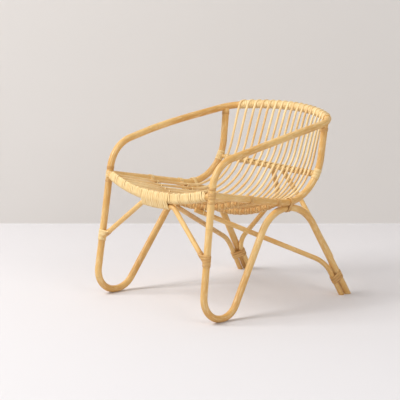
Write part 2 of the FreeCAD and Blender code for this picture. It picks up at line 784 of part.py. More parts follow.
doc.recompute()

for item in doc.Objects:
    if "Invalid" in item.State or "Error" in item.State:
        raise RuntimeError(f"{item.Label} did not build: {item.getStatusString()}")

os.makedirs("parts", exist_ok=True)
for body in nodes:
    if body.Shape.isNull() or not body.Shape.isValid():
        raise RuntimeError(f"{body.Label} has no valid shape")
    body.Shape.exportStep(f"parts/{body.Label}.step")
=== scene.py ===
"""Dress the rattan lounge chair: bent cane poles, peel wraps and spindle ties.

Sizes and routes are in millimetres, as in the part; meshes are in metres.
"""

import logging
import math
from bisect import bisect_right
from collections.abc import Sequence
from dataclasses import dataclass, field
from enum import Enum

import bmesh
import bpy
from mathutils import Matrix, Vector

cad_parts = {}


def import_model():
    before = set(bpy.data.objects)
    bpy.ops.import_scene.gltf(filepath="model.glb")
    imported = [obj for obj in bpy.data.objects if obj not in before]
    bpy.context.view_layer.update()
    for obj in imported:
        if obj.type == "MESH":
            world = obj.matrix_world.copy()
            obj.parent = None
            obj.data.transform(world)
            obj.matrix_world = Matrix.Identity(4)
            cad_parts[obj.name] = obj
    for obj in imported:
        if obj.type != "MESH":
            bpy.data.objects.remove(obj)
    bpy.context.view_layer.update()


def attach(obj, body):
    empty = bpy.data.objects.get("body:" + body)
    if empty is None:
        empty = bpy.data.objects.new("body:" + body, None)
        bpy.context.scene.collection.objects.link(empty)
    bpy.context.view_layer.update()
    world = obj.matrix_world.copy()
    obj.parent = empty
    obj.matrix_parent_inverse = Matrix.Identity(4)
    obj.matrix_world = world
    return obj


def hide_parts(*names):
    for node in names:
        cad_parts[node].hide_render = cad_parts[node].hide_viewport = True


LOG = logging.getLogger("rattan_chair")
MM = 0.001
ACROSS = Vector((1.0, 0.0, 0.0))
BACKWARDS = Vector((0.0, 1.0, 0.0))
UPWARDS = Vector((0.0, 0.0, 1.0))

# How finely routes are worked out: rounds of a search, degrees in a bend, steps of an arc or a disc
HALVINGS = 40
SETTLING_ROUNDS = 30
BEND_STEP = 3.0
ARC_STEPS = 40
DISC_STEPS = 40

Disc = tuple[Vector, float]
Colour = tuple[float, float, float, float]


def shade(red: int, green: int, blue: int) -> Colour:
    """Turn a colour as seen on screen into the renderer's linear colour.

    Args:
        red: Red, 0 to 255.
        green: Green, 0 to 255.
        blue: Blue, 0 to 255.

    Returns:
        Linear colour with full alpha.
    """

    def linear(value: int) -> float:
        """One channel, linear."""
        share = value / 255
        return share / 12.92 if share <= 0.04045 else ((share + 0.055) / 1.055) ** 2.4

    return (linear(red), linear(green), linear(blue), 1.0)


class Peel(Enum):
    """The two tones of peel."""

    CREAM = "cream"
    HONEY = "honey"


class Side(Enum):
    """The two sides of the chair, by the sign of X."""

    LEFT = -1
    RIGHT = 1

    @property
    def label(self) -> str:
        """Name used in the node labels."""
        return self.name.lower()

    @property
    def peel(self) -> Peel:
        """Peel of this side's small ties: pale on the left, honey on the right."""
        return Peel.CREAM if self is Side.LEFT else Peel.HONEY

    def place(self, point: Vector) -> Vector:
        """Point given for the right side, on this side."""
        return Vector((point.x * self.value, point.y, point.z))


class Slot(Enum):
    """Material slots of the part's record."""

    POLE = "pole"
    THIN_POLE = "thin_pole"
    SPINDLE = "spindle_cane"
    PEEL = "peel"


# Routes


@dataclass
class Route:
    """Axis of a pole as a chain of points.

    Args:
        points: Points of the chain, in order.
    """

    points: list[Vector]
    marks: list[float] = field(init=False)

    def __post_init__(self) -> None:
        """Add up the lengths along the chain."""
        self.marks = [0.0]
        for first, second in zip(self.points, self.points[1:]):
            self.marks.append(self.marks[-1] + (second - first).length)

    @property
    def length(self) -> float:
        """Length of the whole chain."""
        return self.marks[-1]

    def at(self, distance: float) -> tuple[Vector, Vector]:
        """Find a place along the chain.

        Args:
            distance: Length from the start.

        Returns:
            Point and heading there.
        """
        number = min(max(bisect_right(self.marks, distance) - 1, 0), len(self.points) - 2)
        first, second = self.points[number], self.points[number + 1]
        heading = (second - first).normalized()
        return first + heading * (distance - self.marks[number]), heading

    def between(self, start: float, finish: float) -> "Route":
        """Take the part of the chain between two lengths.

        Args:
            start: Length of the first end.
            finish: Length of the second end.

        Returns:
            The shorter route.
        """
        inner = [point for point, mark in zip(self.points, self.marks) if start < mark < finish]
        return Route([self.at(start)[0], *inner, self.at(finish)[0]])

    def where(self, axis: Vector, value: float, low: float, high: float) -> float:
        """Find the length at which the chain reaches a value along an axis.

        Args:
            axis: Unit axis.
            value: Distance along it.
            low: Length where the search starts.
            high: Length where the search ends.

        Returns:
            The length.
        """
        rising = self.at(high)[0].dot(axis) > self.at(low)[0].dot(axis)
        for _ in range(HALVINGS):
            middle = (low + high) / 2
            if (self.at(middle)[0].dot(axis) < value) == rising:
                low = middle
            else:
                high = middle
        return low

    def even(self, step: float) -> "Route":
        """The same chain with its points about a step apart."""
        count = max(2, round(self.length / step))
        return Route([self.at(self.length * number / count)[0] for number in range(count + 1)])

    def on(self, side: Side) -> "Route":
        """Route given for the right side, on either side."""
        return Route([side.place(point) for point in self.points])


def bent(points: Sequence[Vector], radii: Sequence[float]) -> Route:
    """Join straight runs with a tangent bend at each inner point.

    Args:
        points: Ends and corners of the runs.
        radii: Radius of each bend.

    Returns:
        Route with its bends divided every few degrees.
    """
    chain = [points[0]]
    for before, corner, after, radius in zip(points, points[1:], points[2:], radii):
        back = (before - corner).normalized()
        ahead = (after - corner).normalized()
        half = back.angle(ahead) / 2
        centre = corner + (back + ahead).normalized() * (radius / math.sin(half))
        start = corner + back * (radius / math.tan(half)) - centre
        turn = math.pi - 2 * half
        count = max(2, round(math.degrees(turn) / BEND_STEP))
        for number in range(count + 1):
            angle = turn * number / count
            chain.append(centre + start * math.cos(angle) - back * (radius * math.sin(angle)))
    chain.append(points[-1])
    return Route(chain)


def corner_after(
    start: Vector, heading: Vector, target: Vector, radius: float, straight: float
) -> Vector:
    """Find the corner past a straight run, just far enough for its bend towards a target.

    Args:
        start: Start of the run.
        heading: Direction of the run.
        target: Where the pole goes after the bend.
        radius: Radius of the bend.
        straight: Length that stays straight.

    Returns:
        The corner.
    """
    corner = start + heading * straight
    for _ in range(SETTLING_ROUNDS):
        reach = straight + radius * math.tan(heading.angle(target - corner) / 2)
        corner = start + heading * reach
    return corner


def apart(along: Vector, across: Vector, shift: Vector, reach: float) -> float:
    """How far to move along shift so that two crossing lines lie reach apart.

    Args:
        along: Direction of the first line.
        across: Direction of the second line.
        shift: Direction of the move.
        reach: Distance wanted.

    Returns:
        Length of the move.
    """
    return reach / abs(along.cross(across).normalized().dot(shift))


@dataclass
class Bow:
    """A rail across the chair: one arc through two mirrored ends and a middle.

    Args:
        end: Right end.
        middle: Middle point.
    """

    end: Vector
    middle: Vector
    radius: float = field(init=False)
    rise: Vector = field(init=False)

    def __post_init__(self) -> None:
        """Work out the arc."""
        drop = Vector((0.0, self.end.y - self.middle.y, self.end.z - self.middle.z))
        self.radius = (self.end.x**2 + drop.length**2) / (2 * drop.length)
        self.rise = drop.normalized()

    def at(self, x: float) -> Vector:
        """Point of the rail's axis at a distance from the middle."""
        lift = self.radius - math.sqrt(self.radius**2 - x**2)
        return self.middle + ACROSS * x + self.rise * lift

    def heading(self, x: float) -> Vector:
        """Direction of the rail at a distance from the middle."""
        return (ACROSS + self.rise * (x / math.sqrt(self.radius**2 - x**2))).normalized()

    def route(self) -> Route:
        """Work out the whole arc.

        Returns:
            Its axis, from left to right.
        """
        turn = math.asin(self.end.x / self.radius)
        steps = [turn * number / ARC_STEPS for number in range(-ARC_STEPS, ARC_STEPS + 1)]
        return Route([self.at(self.radius * math.sin(step)) for step in steps])


# Sizes and lines of the chair


@dataclass(frozen=True)
class Stock:
    """Radii of the canes, thickness of the peel, and room at wraps, rests and coped ends."""

    pole: float = 14.0
    thin: float = 10.0
    spindle: float = 4.5
    cross: float = 11.0
    lumbar: float = 9.0
    peel: float = 1.8
    fit: float = 0.2
    rest: float = 0.3
    cope: float = 7.0

    @property
    def layer(self) -> float:
        """A layer of peel with its fit."""
        return self.peel + self.fit


@dataclass
class ArmLines:
    """Arm hoop and side rails, for the right side."""

    stock: Stock
    height: float = 733.5
    depth: float = 387.0
    tilt: float = math.radians(9.7)
    back_radius: float = 490.0
    back_turn: float = math.radians(30.5)
    shoulder_half: float = 299.0
    bends: tuple[float, float, float] = (125.0, 1800.0, 104.0)
    rise: float = 11.0
    swell: tuple[float, float] = (330.0, -65.0)
    elbow: tuple[float, float] = (309.5, -327.0)
    toe: tuple[float, float] = (331.0, -407.0)
    joint_height: float = 249.0
    seat_height: float = 496.0
    dip: Vector = field(default_factory=lambda: Vector((287.0, 225.0, 380.0)))
    dip_radius: float = 182.0
    stile_depth: float = 266.0
    foot_flat: float = 1.0
    dip_from: float = 80.0

    def __post_init__(self) -> None:
        """Work out the hoop, the leg line and the side rail."""
        apex_along = self.back_radius * (1 / math.cos(self.back_turn) - 1)
        apex = self.on_hoop(0.0, apex_along)
        fall = self.shoulder_half * math.tan(self.back_turn)
        shoulder = self.on_hoop(self.shoulder_half, apex_along - fall)
        self.elbow_point = self.on_hoop_at_depth(*self.elbow)
        self.toe_point = Vector((*self.toe, self.stock.pole - self.foot_flat))
        self.leg_down = (self.toe_point - self.elbow_point).normalized()
        self.joint = self.on_leg(self.joint_height)
        swell = self.on_hoop_at_depth(*self.swell) + UPWARDS * self.rise
        half = [shoulder, swell, self.elbow_point, self.joint]
        points = [Side.LEFT.place(point) for point in reversed(half)] + [apex] + half
        self.hoop = bent(points, [*self.bends, self.back_radius, *self.bends[::-1]])

        middle = self.hoop.length / 2
        stile_at = self.hoop.where(BACKWARDS, self.stile_depth, middle, self.hoop.length)
        self.seat_corner = self.on_leg(self.seat_height)
        stile_top = self.hoop.at(stile_at)[0]
        self.side = bent([self.seat_corner, self.dip, stile_top], [self.dip_radius])

    def on_hoop(self, x: float, along: float) -> Vector:
        """Point of the hoop's plane, along measured from the middle of the back."""
        run = Vector((0.0, math.cos(self.tilt), math.sin(self.tilt))) * along
        return Vector((x, self.depth, self.height)) + run

    def on_hoop_at_depth(self, x: float, depth: float) -> Vector:
        """Point of the hoop's plane at a depth of the chair."""
        return self.on_hoop(x, (depth - self.depth) / math.cos(self.tilt))

    def on_leg(self, height: float) -> Vector:
        """Point of the front leg's axis at a height."""
        return self.elbow_point + self.leg_down * ((height - self.elbow_point.z) / self.leg_down.z)

    def top_rail(self, x: float) -> tuple[Vector, Vector]:
        """Find a place of the top rail.

        Args:
            x: Distance from the middle of the chair.

        Returns:
            Point and direction of the rail.
        """
        level = math.sqrt(self.back_radius**2 - x**2)
        point = self.on_hoop(x, level - self.back_radius)
        ahead = self.on_hoop(x + level, level - self.back_radius - x)
        return point, (ahead - point).normalized()

    def side_at(self, axis: Vector, value: float) -> float:
        """Length along the side rail where it reaches a depth, or a height past its dip."""
        lowest = self.side.where(BACKWARDS, self.dip_from, 0.0, self.side.length)
        return self.side.where(axis, value, lowest if axis == UPWARDS else 0.0, self.side.length)


@dataclass
class RailLines:
    """Front rail, cross rails and lumbar rail.

    A cross rail is given by the depth of its ends, its bow and its sag, the lumbar rail by the
    height of its ends, and the centre wrap by its two ends on the front rail.
    """

    arms: ArmLines
    front_middle: Vector = field(default_factory=lambda: Vector((0.0, -370.0, 447.0)))
    cross_front: tuple[float, float, float] = (-139.0, -40.0, 62.0)
    cross_rear: tuple[float, float, float] = (11.0, -14.0, 72.0)
    lumbar_place: tuple[float, float, float] = (510.0, 54.0, 14.0)
    wrapped: tuple[float, float] = (-30.0, 98.0)

    def __post_init__(self) -> None:
        """Work out the four bows."""
        self.front = Bow(self.arms.seat_corner, self.front_middle)
        self.front_at = self.arms.side_at(BACKWARDS, self.cross_front[0])
        self.rear_at = self.arms.side_at(BACKWARDS, self.cross_rear[0])
        self.lumbar_at = self.arms.side_at(UPWARDS, self.lumbar_place[0])
        self.cross_front_bow = self.sagging(self.front_at, *self.cross_front[1:])
        self.cross_rear_bow = self.sagging(self.rear_at, *self.cross_rear[1:])
        self.lumbar = self.sagging(self.lumbar_at, *self.lumbar_place[1:])

    def sagging(self, length: float, bow: float, sag: float) -> Bow:
        """Rail between the side rails, with its middle moved back and down."""
        end = self.arms.side.at(length)[0]
        return Bow(end, Vector((0.0, end.y + bow, end.z - sag)))


@dataclass
class SpindleLines:
    """Spindles from the front rail over the seat and up to their hooks on the top rail."""

    stock: Stock
    arms: ArmLines
    rails: RailLines
    count: int = 17
    pitch: float = 31.0
    seat_run: float = 148.0
    bend_height: float = 540.0
    hook_tail: float = 16.0
    flat_reach: tuple[float, float] = (36.0, 23.0)
    front_lap: float = 9.0
    bends: tuple[float, float, float] = (500.0, 235.0, 250.0)
    bend_share: float = 0.92
    step: float = 6.0

    def __post_init__(self) -> None:
        """Work out how far a spindle's axis lies from each rail's axis."""
        stock = self.stock
        self.cross_reach = stock.cross + stock.layer + stock.spindle + stock.rest
        self.lumbar_reach = stock.lumbar + stock.layer + stock.spindle + stock.rest
        self.hoop_reach = stock.pole + stock.layer + stock.spindle + stock.rest

    def places(self) -> list[float]:
        """Distance of each spindle from the middle of the chair."""
        return [(number - (self.count - 1) / 2) * self.pitch for number in range(self.count)]

    def seat_points(self, x: float) -> tuple[Vector, Vector]:
        """Find where a spindle's axis passes over the cross rails.

        Args:
            x: Distance from the middle of the chair.

        Returns:
            Its points over the front and the rear cross rail.
        """
        front, rear = self.rails.cross_front_bow, self.rails.cross_rear_bow
        heading = rear.at(x) - front.at(x)
        over_front = apart(heading, front.heading(x), UPWARDS, self.cross_reach)
        over_rear = apart(heading, rear.heading(x), UPWARDS, self.cross_reach)
        return front.at(x) + UPWARDS * over_front, rear.at(x) + UPWARDS * over_rear

    def back_point(self, x: float, corner: Vector) -> Vector:
        """Find where a spindle's axis passes the lumbar rail.

        Args:
            x: Distance from the middle of the chair.
            corner: Corner between seat and back.

        Returns:
            Its point in front of the rail.
        """
        rail, reach = self.rails.lumbar, self.lumbar_reach
        heading = rail.at(x) - BACKWARDS * reach - corner
        return rail.at(x) - BACKWARDS * apart(heading, rail.heading(x), BACKWARDS, reach)

    def rail_reach(self, x: float) -> float:
        """Find how far a spindle's axis lies from the front rail's axis.

        Args:
            x: Distance from the middle of the chair.

        Returns:
            The distance, larger on the centre wrap.
        """
        left, right = self.rails.wrapped
        wrapped = left - self.stock.spindle < x < right + self.stock.spindle
        return self.hoop_reach + (self.stock.rest + self.stock.peel if wrapped else 0.0)

    def rail_point(self, x: float, on_front: Vector) -> Vector:
        """Find where a spindle's axis passes over the front rail.

        Args:
            x: Distance from the middle of the chair.
            on_front: Its point over the front cross rail.

        Returns:
            Its point over the rail.
        """
        rail, reach = self.rails.front, self.rail_reach(x)
        run = rail.at(x) + UPWARDS * reach - on_front
        return rail.at(x) + UPWARDS * apart(run, rail.heading(x), UPWARDS, reach)

    def route(self, x: float) -> Route:
        """Work out one spindle.

        Args:
            x: Distance from the middle of the chair.

        Returns:
            Its axis, from the front rail to the tip of the hook.
        """
        on_front, on_rear = self.seat_points(x)
        corner = on_rear + (on_rear - on_front).normalized() * self.seat_run
        climb = self.back_point(x, corner) - corner
        bend = corner + climb * ((self.bend_height - corner.z) / climb.z)

        top, heading = self.arms.top_rail(x)
        rise = top - BACKWARDS * self.hoop_reach - bend
        before = apart(rise, heading, BACKWARDS, self.hoop_reach)
        rise = top - BACKWARDS * before - bend
        above = apart(BACKWARDS, heading, UPWARDS, self.hoop_reach)
        behind = apart(UPWARDS, heading, BACKWARDS, self.hoop_reach)
        crest = top.z + above
        hook_front = bend + rise * ((crest - bend.z) / rise.z)
        hook_back = Vector((x, top.y + behind, crest))
        tip = hook_back - UPWARDS * (above + self.hook_tail)

        on_rail = self.rail_point(x, on_front)
        front_end = on_rail + (on_rail - on_front).normalized() * self.front_lap
        points = [front_end, on_front, corner, bend, hook_front, hook_back, tip]
        front_bend, seat_bend, back_bend = self.bends
        room = climb.length / math.tan((on_rear - on_front).angle(climb) / 2)
        seat_bend = min(seat_bend, self.bend_share * room)
        route = bent(points, [front_bend, seat_bend, back_bend, self.hoop_reach, self.hoop_reach])
        return route.even(self.step)

    def shaving(self, x: float, point: Vector) -> tuple[float, Vector]:
        """Work out how flat a spindle is shaved where it goes over the top rail.

        Args:
            x: Distance of the spindle from the middle of the chair.
            point: Point of its axis.

        Returns:
            Share of the shaving and the direction away from the rail.
        """
        top, heading = self.arms.top_rail(x)
        away = point - top
        away -= heading * away.dot(heading)
        far, near = self.flat_reach
        share = min(max((far - away.length) / (far - near), 0.0), 1.0)
        return share * share * (3 - 2 * share), away.normalized()


@dataclass
class BraceLines:
    """Front brace under the front rail."""

    stock: Stock
    arms: ArmLines
    rails: RailLines
    run_left: float = 54.0
    wrap_width: float = 45.0
    margin: float = 1.5
    sunk: float = 12.0
    shoulder: float = 32.0

    def __post_init__(self) -> None:
        """Work out the brace's axis and its end inside the leg."""
        stock, leg_down = self.stock, self.arms.leg_down
        self.under = stock.pole + stock.layer + stock.thin + stock.rest
        drop = UPWARDS * self.under
        bow = Bow(self.rails.front.end - drop, self.rails.front.middle - drop)
        self.end = self.arms.joint + leg_down * self.sunk
        run_right = self.rails.wrapped[1] + self.margin
        left_turn, right_turn = (math.asin(x / bow.radius) for x in (self.run_left, run_right))
        aside = (right_turn - left_turn) / 2
        outwards = ACROSS * math.sin(aside) - bow.rise * math.cos(aside)
        reach = bow.radius / math.cos((left_turn + right_turn) / 2)
        apex = bow.middle + bow.rise * bow.radius + outwards * reach
        left = self.half(bow, -self.run_left, Side.LEFT)
        points = [*reversed(left), apex, *self.half(bow, run_right, Side.RIGHT)]
        self.route = bent(points, [self.shoulder, bow.radius, self.shoulder])

    def half(self, bow: Bow, x: float, side: Side) -> list[Vector]:
        """Work out the brace past one end of its middle run.

        Args:
            bow: Arc of the middle run.
            x: End of the middle run.
            side: Side of the chair.

        Returns:
            Corner and end, on the leg's axis.
        """
        end = side.place(self.end)
        heading = bow.heading(x) * side.value
        return [corner_after(bow.at(x), heading, end, self.shoulder, self.margin), end]

    def at_end(self, side: Side, distance: float) -> tuple[Vector, Vector]:
        """Find a place near one end of the brace.

        Args:
            side: Side of the chair.
            distance: Distance from the end.

        Returns:
            Point and heading there, towards the leg.
        """
        if side is Side.RIGHT:
            return self.route.at(self.route.length - distance)
        point, heading = self.route.at(distance)
        return point, -heading


@dataclass
class LegLines:
    """Leg loop, stretcher and rear brace, for the right side."""

    stock: Stock
    arms: ArmLines
    rails: RailLines
    heel: tuple[float, float] = (327.0, -254.0)
    foot_radius: float = 89.0
    arch_depth: float = 80.0
    arch_lean: float = math.radians(28.0)
    arch_radius: float = 164.0
    rear_foot: Vector = field(default_factory=lambda: Vector((308.5, 393.0, 0.0)))
    foot_wrap_height: float = 85.0
    foot_wrap_width: float = 26.0
    stretcher_space: float = 5.0
    stretcher_run: float = 21.0
    stretcher_radius: float = 150.0
    pass_half: float = 84.0
    nose: float = 46.0
    brace_bends: tuple[float, float, float] = (45.0, 52.0, 80.0)
    brace_bend: Vector = field(default_factory=lambda: Vector((271.0, 339.0, 150.0)))
    crook: Vector = field(default_factory=lambda: Vector((64.0, 353.0, 366.0)))
    brace_top: float = 28.0
    brace_run: float = 1.5
    sunk: float = 28.0

    def __post_init__(self) -> None:
        """Work out the three poles that meet at a rear foot."""
        stock = self.stock
        self.arch_seat = self.arms.side.at(self.arms.side_at(BACKWARDS, self.arch_depth))[0]
        reach = 2 * stock.pole + stock.rest
        lean = ACROSS * math.sin(self.arch_lean) + UPWARDS * math.cos(self.arch_lean)
        self.arch_top = self.arch_seat - lean * reach
        heel = Vector((*self.heel, self.arms.toe_point.z))
        arch = self.arch_corner(heel)
        self.rear_up = (arch - self.rear_foot).normalized()
        start = self.arms.joint + self.arms.leg_down * stock.fit
        corners = [start, self.arms.toe_point, heel, arch, self.on_leg(-self.sunk)]
        self.loop = bent(corners, [self.foot_radius, self.foot_radius, self.arch_radius])

        forwards = (BACKWARDS * -1 + self.rear_up * self.rear_up.y).normalized()
        inwards = ACROSS * -1 + self.rear_up * self.rear_up.x + forwards * forwards.x
        self.stretcher_aside = forwards * (stock.pole + stock.thin + self.stretcher_space)
        self.brace_aside = inwards.normalized() * (stock.pole + stock.thin + stock.rest)
        self.wrap_place = self.on_leg(self.foot_wrap_height)
        self.wrap_top = self.wrap_place + self.rear_up * (self.foot_wrap_width / 2)
        self.stretcher = self.stretcher_route()
        leaves = self.wrap_top + self.brace_aside
        exit_corner = corner_after(
            leaves, self.rear_up, self.brace_bend, self.brace_bends[0], self.brace_run
        )
        top = self.rails.lumbar.at(self.brace_top)
        foot = self.on_leg(-self.sunk) + self.brace_aside
        self.brace = bent([foot, exit_corner, self.brace_bend, self.crook, top], self.brace_bends)

    def arch_corner(self, heel: Vector) -> Vector:
        """Find where the two sides of the arch meet, so that its bend passes the arch's top.

        Args:
            heel: Rear corner of the foot.

        Returns:
            The corner.
        """
        corner = self.arch_top + UPWARDS * self.arch_radius
        for _ in range(SETTLING_ROUNDS):
            front = (heel - corner).normalized()
            rear = (self.rear_foot - corner).normalized()
            above = self.arch_radius * (1 / math.sin(front.angle(rear) / 2) - 1)
            corner = self.arch_top - (front + rear).normalized() * above
        return corner

    def on_leg(self, height: float) -> Vector:
        """Point of the rear leg's axis at a height."""
        return self.rear_foot + self.rear_up * (height / self.rear_up.z)

    def stretcher_route(self) -> Route:
        """Work out the stretcher, which passes under the front cross rail.

        Returns:
            Its axis, from below the floor to its nose.
        """
        rail = self.rails.cross_front_bow
        above, heading = rail.at(self.pass_half), rail.heading(self.pass_half)
        reach = self.stock.cross + self.stock.layer + self.stock.thin + self.stock.rest
        leaves = self.wrap_top + self.stretcher_aside
        passing = above - UPWARDS * reach
        for _ in range(SETTLING_ROUNDS):
            bend = corner_after(
                leaves, self.rear_up, passing, self.stretcher_radius, self.stretcher_run
            )
            passing = above - UPWARDS * apart(passing - bend, heading, UPWARDS, reach)
        finish = passing + (passing - bend).normalized() * self.nose
        foot = self.on_leg(-self.sunk) + self.stretcher_aside
        return bent([foot, bend, finish], [self.stretcher_radius])


@dataclass
class ChairLines:
    """Every axis of the chair, worked out from the stock and the sizes above."""

    stock: Stock = field(default_factory=Stock)

    def __post_init__(self) -> None:
        """Work out the lines in the order in which they rest on each other."""
        self.arms = ArmLines(self.stock)
        self.rails = RailLines(self.arms)
        self.spindles = SpindleLines(self.stock, self.arms, self.rails)
        self.brace = BraceLines(self.stock, self.arms, self.rails)
        self.legs = LegLines(self.stock, self.arms, self.rails)


# Node trees

Socket = bpy.types.NodeSocket
Feed = Socket | float | int | str | Colour

# Places of the colour sockets of a mix node
MIX_FIRST, MIX_SECOND, MIX_RESULT = 6, 7, 2


class Tree:
    """Short hand for filling a node tree.

    Args:
        tree: The tree to fill.
    """

    def __init__(self, tree: bpy.types.NodeTree) -> None:
        """Keep the tree."""
        self.tree = tree

    def feed(self, socket: Socket, value: Feed) -> None:
        """Link a socket or set its own value.

        Args:
            socket: Input to feed.
            value: Output to link to it, or its plain value.
        """
        if isinstance(value, Socket):
            self.tree.links.new(value, socket)
        else:
            socket.default_value = value

    def add(
        self, kind: str, inputs: dict[str | int, Feed] | None = None, **settings: object
    ) -> bpy.types.Node:
        """Add a node.

        Args:
            kind: Kind of node.
            inputs: What feeds its inputs, by name or place.
            **settings: Its properties.

        Returns:
            The node.
        """
        node = self.tree.nodes.new(kind)
        for name, value in settings.items():
            setattr(node, name, value)
        for key, value in (inputs or {}).items():
            self.feed(node.inputs[key], value)
        return node

    def math(self, operation: str, *values: Feed) -> Socket:
        """Add a math node and return its output."""
        node = self.add("ShaderNodeMath", dict(enumerate(values)), operation=operation)
        return node.outputs[0]

    def vectors(self, operation: str, first: Feed, second: Feed) -> Socket:
        """Add a vector math node.

        Args:
            operation: What it does.
            first: First vector.
            second: Second vector, or the scale.

        Returns:
            Its output.
        """
        key = "Scale" if operation == "SCALE" else 1
        inputs = {0: first, key: second}
        node = self.add("ShaderNodeVectorMath", inputs, operation=operation)
        return node.outputs["Value" if operation == "DOT_PRODUCT" else "Vector"]

    def spread(
        self, value: Feed, low: float, high: float, to_low: Feed = 0.0, to_high: Feed = 1.0
    ) -> Socket:
        """Map a range to another with soft ends.

        Args:
            value: Value to map.
            low: Start of its range.
            high: End of its range.
            to_low: What the start becomes.
            to_high: What the end becomes.

        Returns:
            The mapped value.
        """
        inputs = dict(enumerate((value, low, high, to_low, to_high)))
        return self.add("ShaderNodeMapRange", inputs, interpolation_type="SMOOTHSTEP").outputs[0]

    def vector(self, *parts: Feed) -> Socket:
        """Join three values into a vector."""
        return self.add("ShaderNodeCombineXYZ", dict(enumerate(parts))).outputs[0]

    def noise(self, vector: Socket, scale: float, detail: float) -> Socket:
        """Noise value at a vector."""
        inputs = {"Vector": vector, "Scale": scale, "Detail": detail}
        return self.add("ShaderNodeTexNoise", inputs, noise_dimensions="3D").outputs[0]

    def blend(self, share: Feed, first: Feed, second: Feed) -> Socket:
        """Mix two colours by a share."""
        inputs = {"Factor": share, MIX_FIRST: first, MIX_SECOND: second}
        return self.add("ShaderNodeMix", inputs, data_type="RGBA").outputs[MIX_RESULT]

    def sockets(self, inputs: dict[str, str], outputs: dict[str, str]) -> dict[str, Socket]:
        """Make the tree's own sockets.

        Args:
            inputs: Kind of each input, by name.
            outputs: Kind of each output, by name.

        Returns:
            Sockets of the group's input node, by name.
        """
        for way, wanted in (("INPUT", inputs), ("OUTPUT", outputs)):
            for name, kind in wanted.items():
                self.tree.interface.new_socket(name=name, in_out=way, socket_type=kind)
        node = self.add("NodeGroupInput")
        return {name: node.outputs[name] for name in inputs}


def joint_mask(tree: Tree, along: Feed, strand: Feed, spacing: Feed, reach: float) -> Socket:
    """Mark the joints of the cane, one ring at each spacing.

    Args:
        tree: Tree to add to.
        along: Length along the cane.
        strand: Number that differs from cane to cane.
        spacing: Distance from joint to joint.
        reach: Half width of a ring.

    Returns:
        Mask, 1 at the joint.
    """
    steps = tree.math("ADD", tree.math("DIVIDE", along, spacing), strand)
    offset = tree.math("ABSOLUTE", tree.math("SUBTRACT", tree.math("FRACT", steps), 0.5))
    return tree.spread(tree.math("MULTIPLY", offset, spacing), 0.0, reach, 1.0, 0.0)


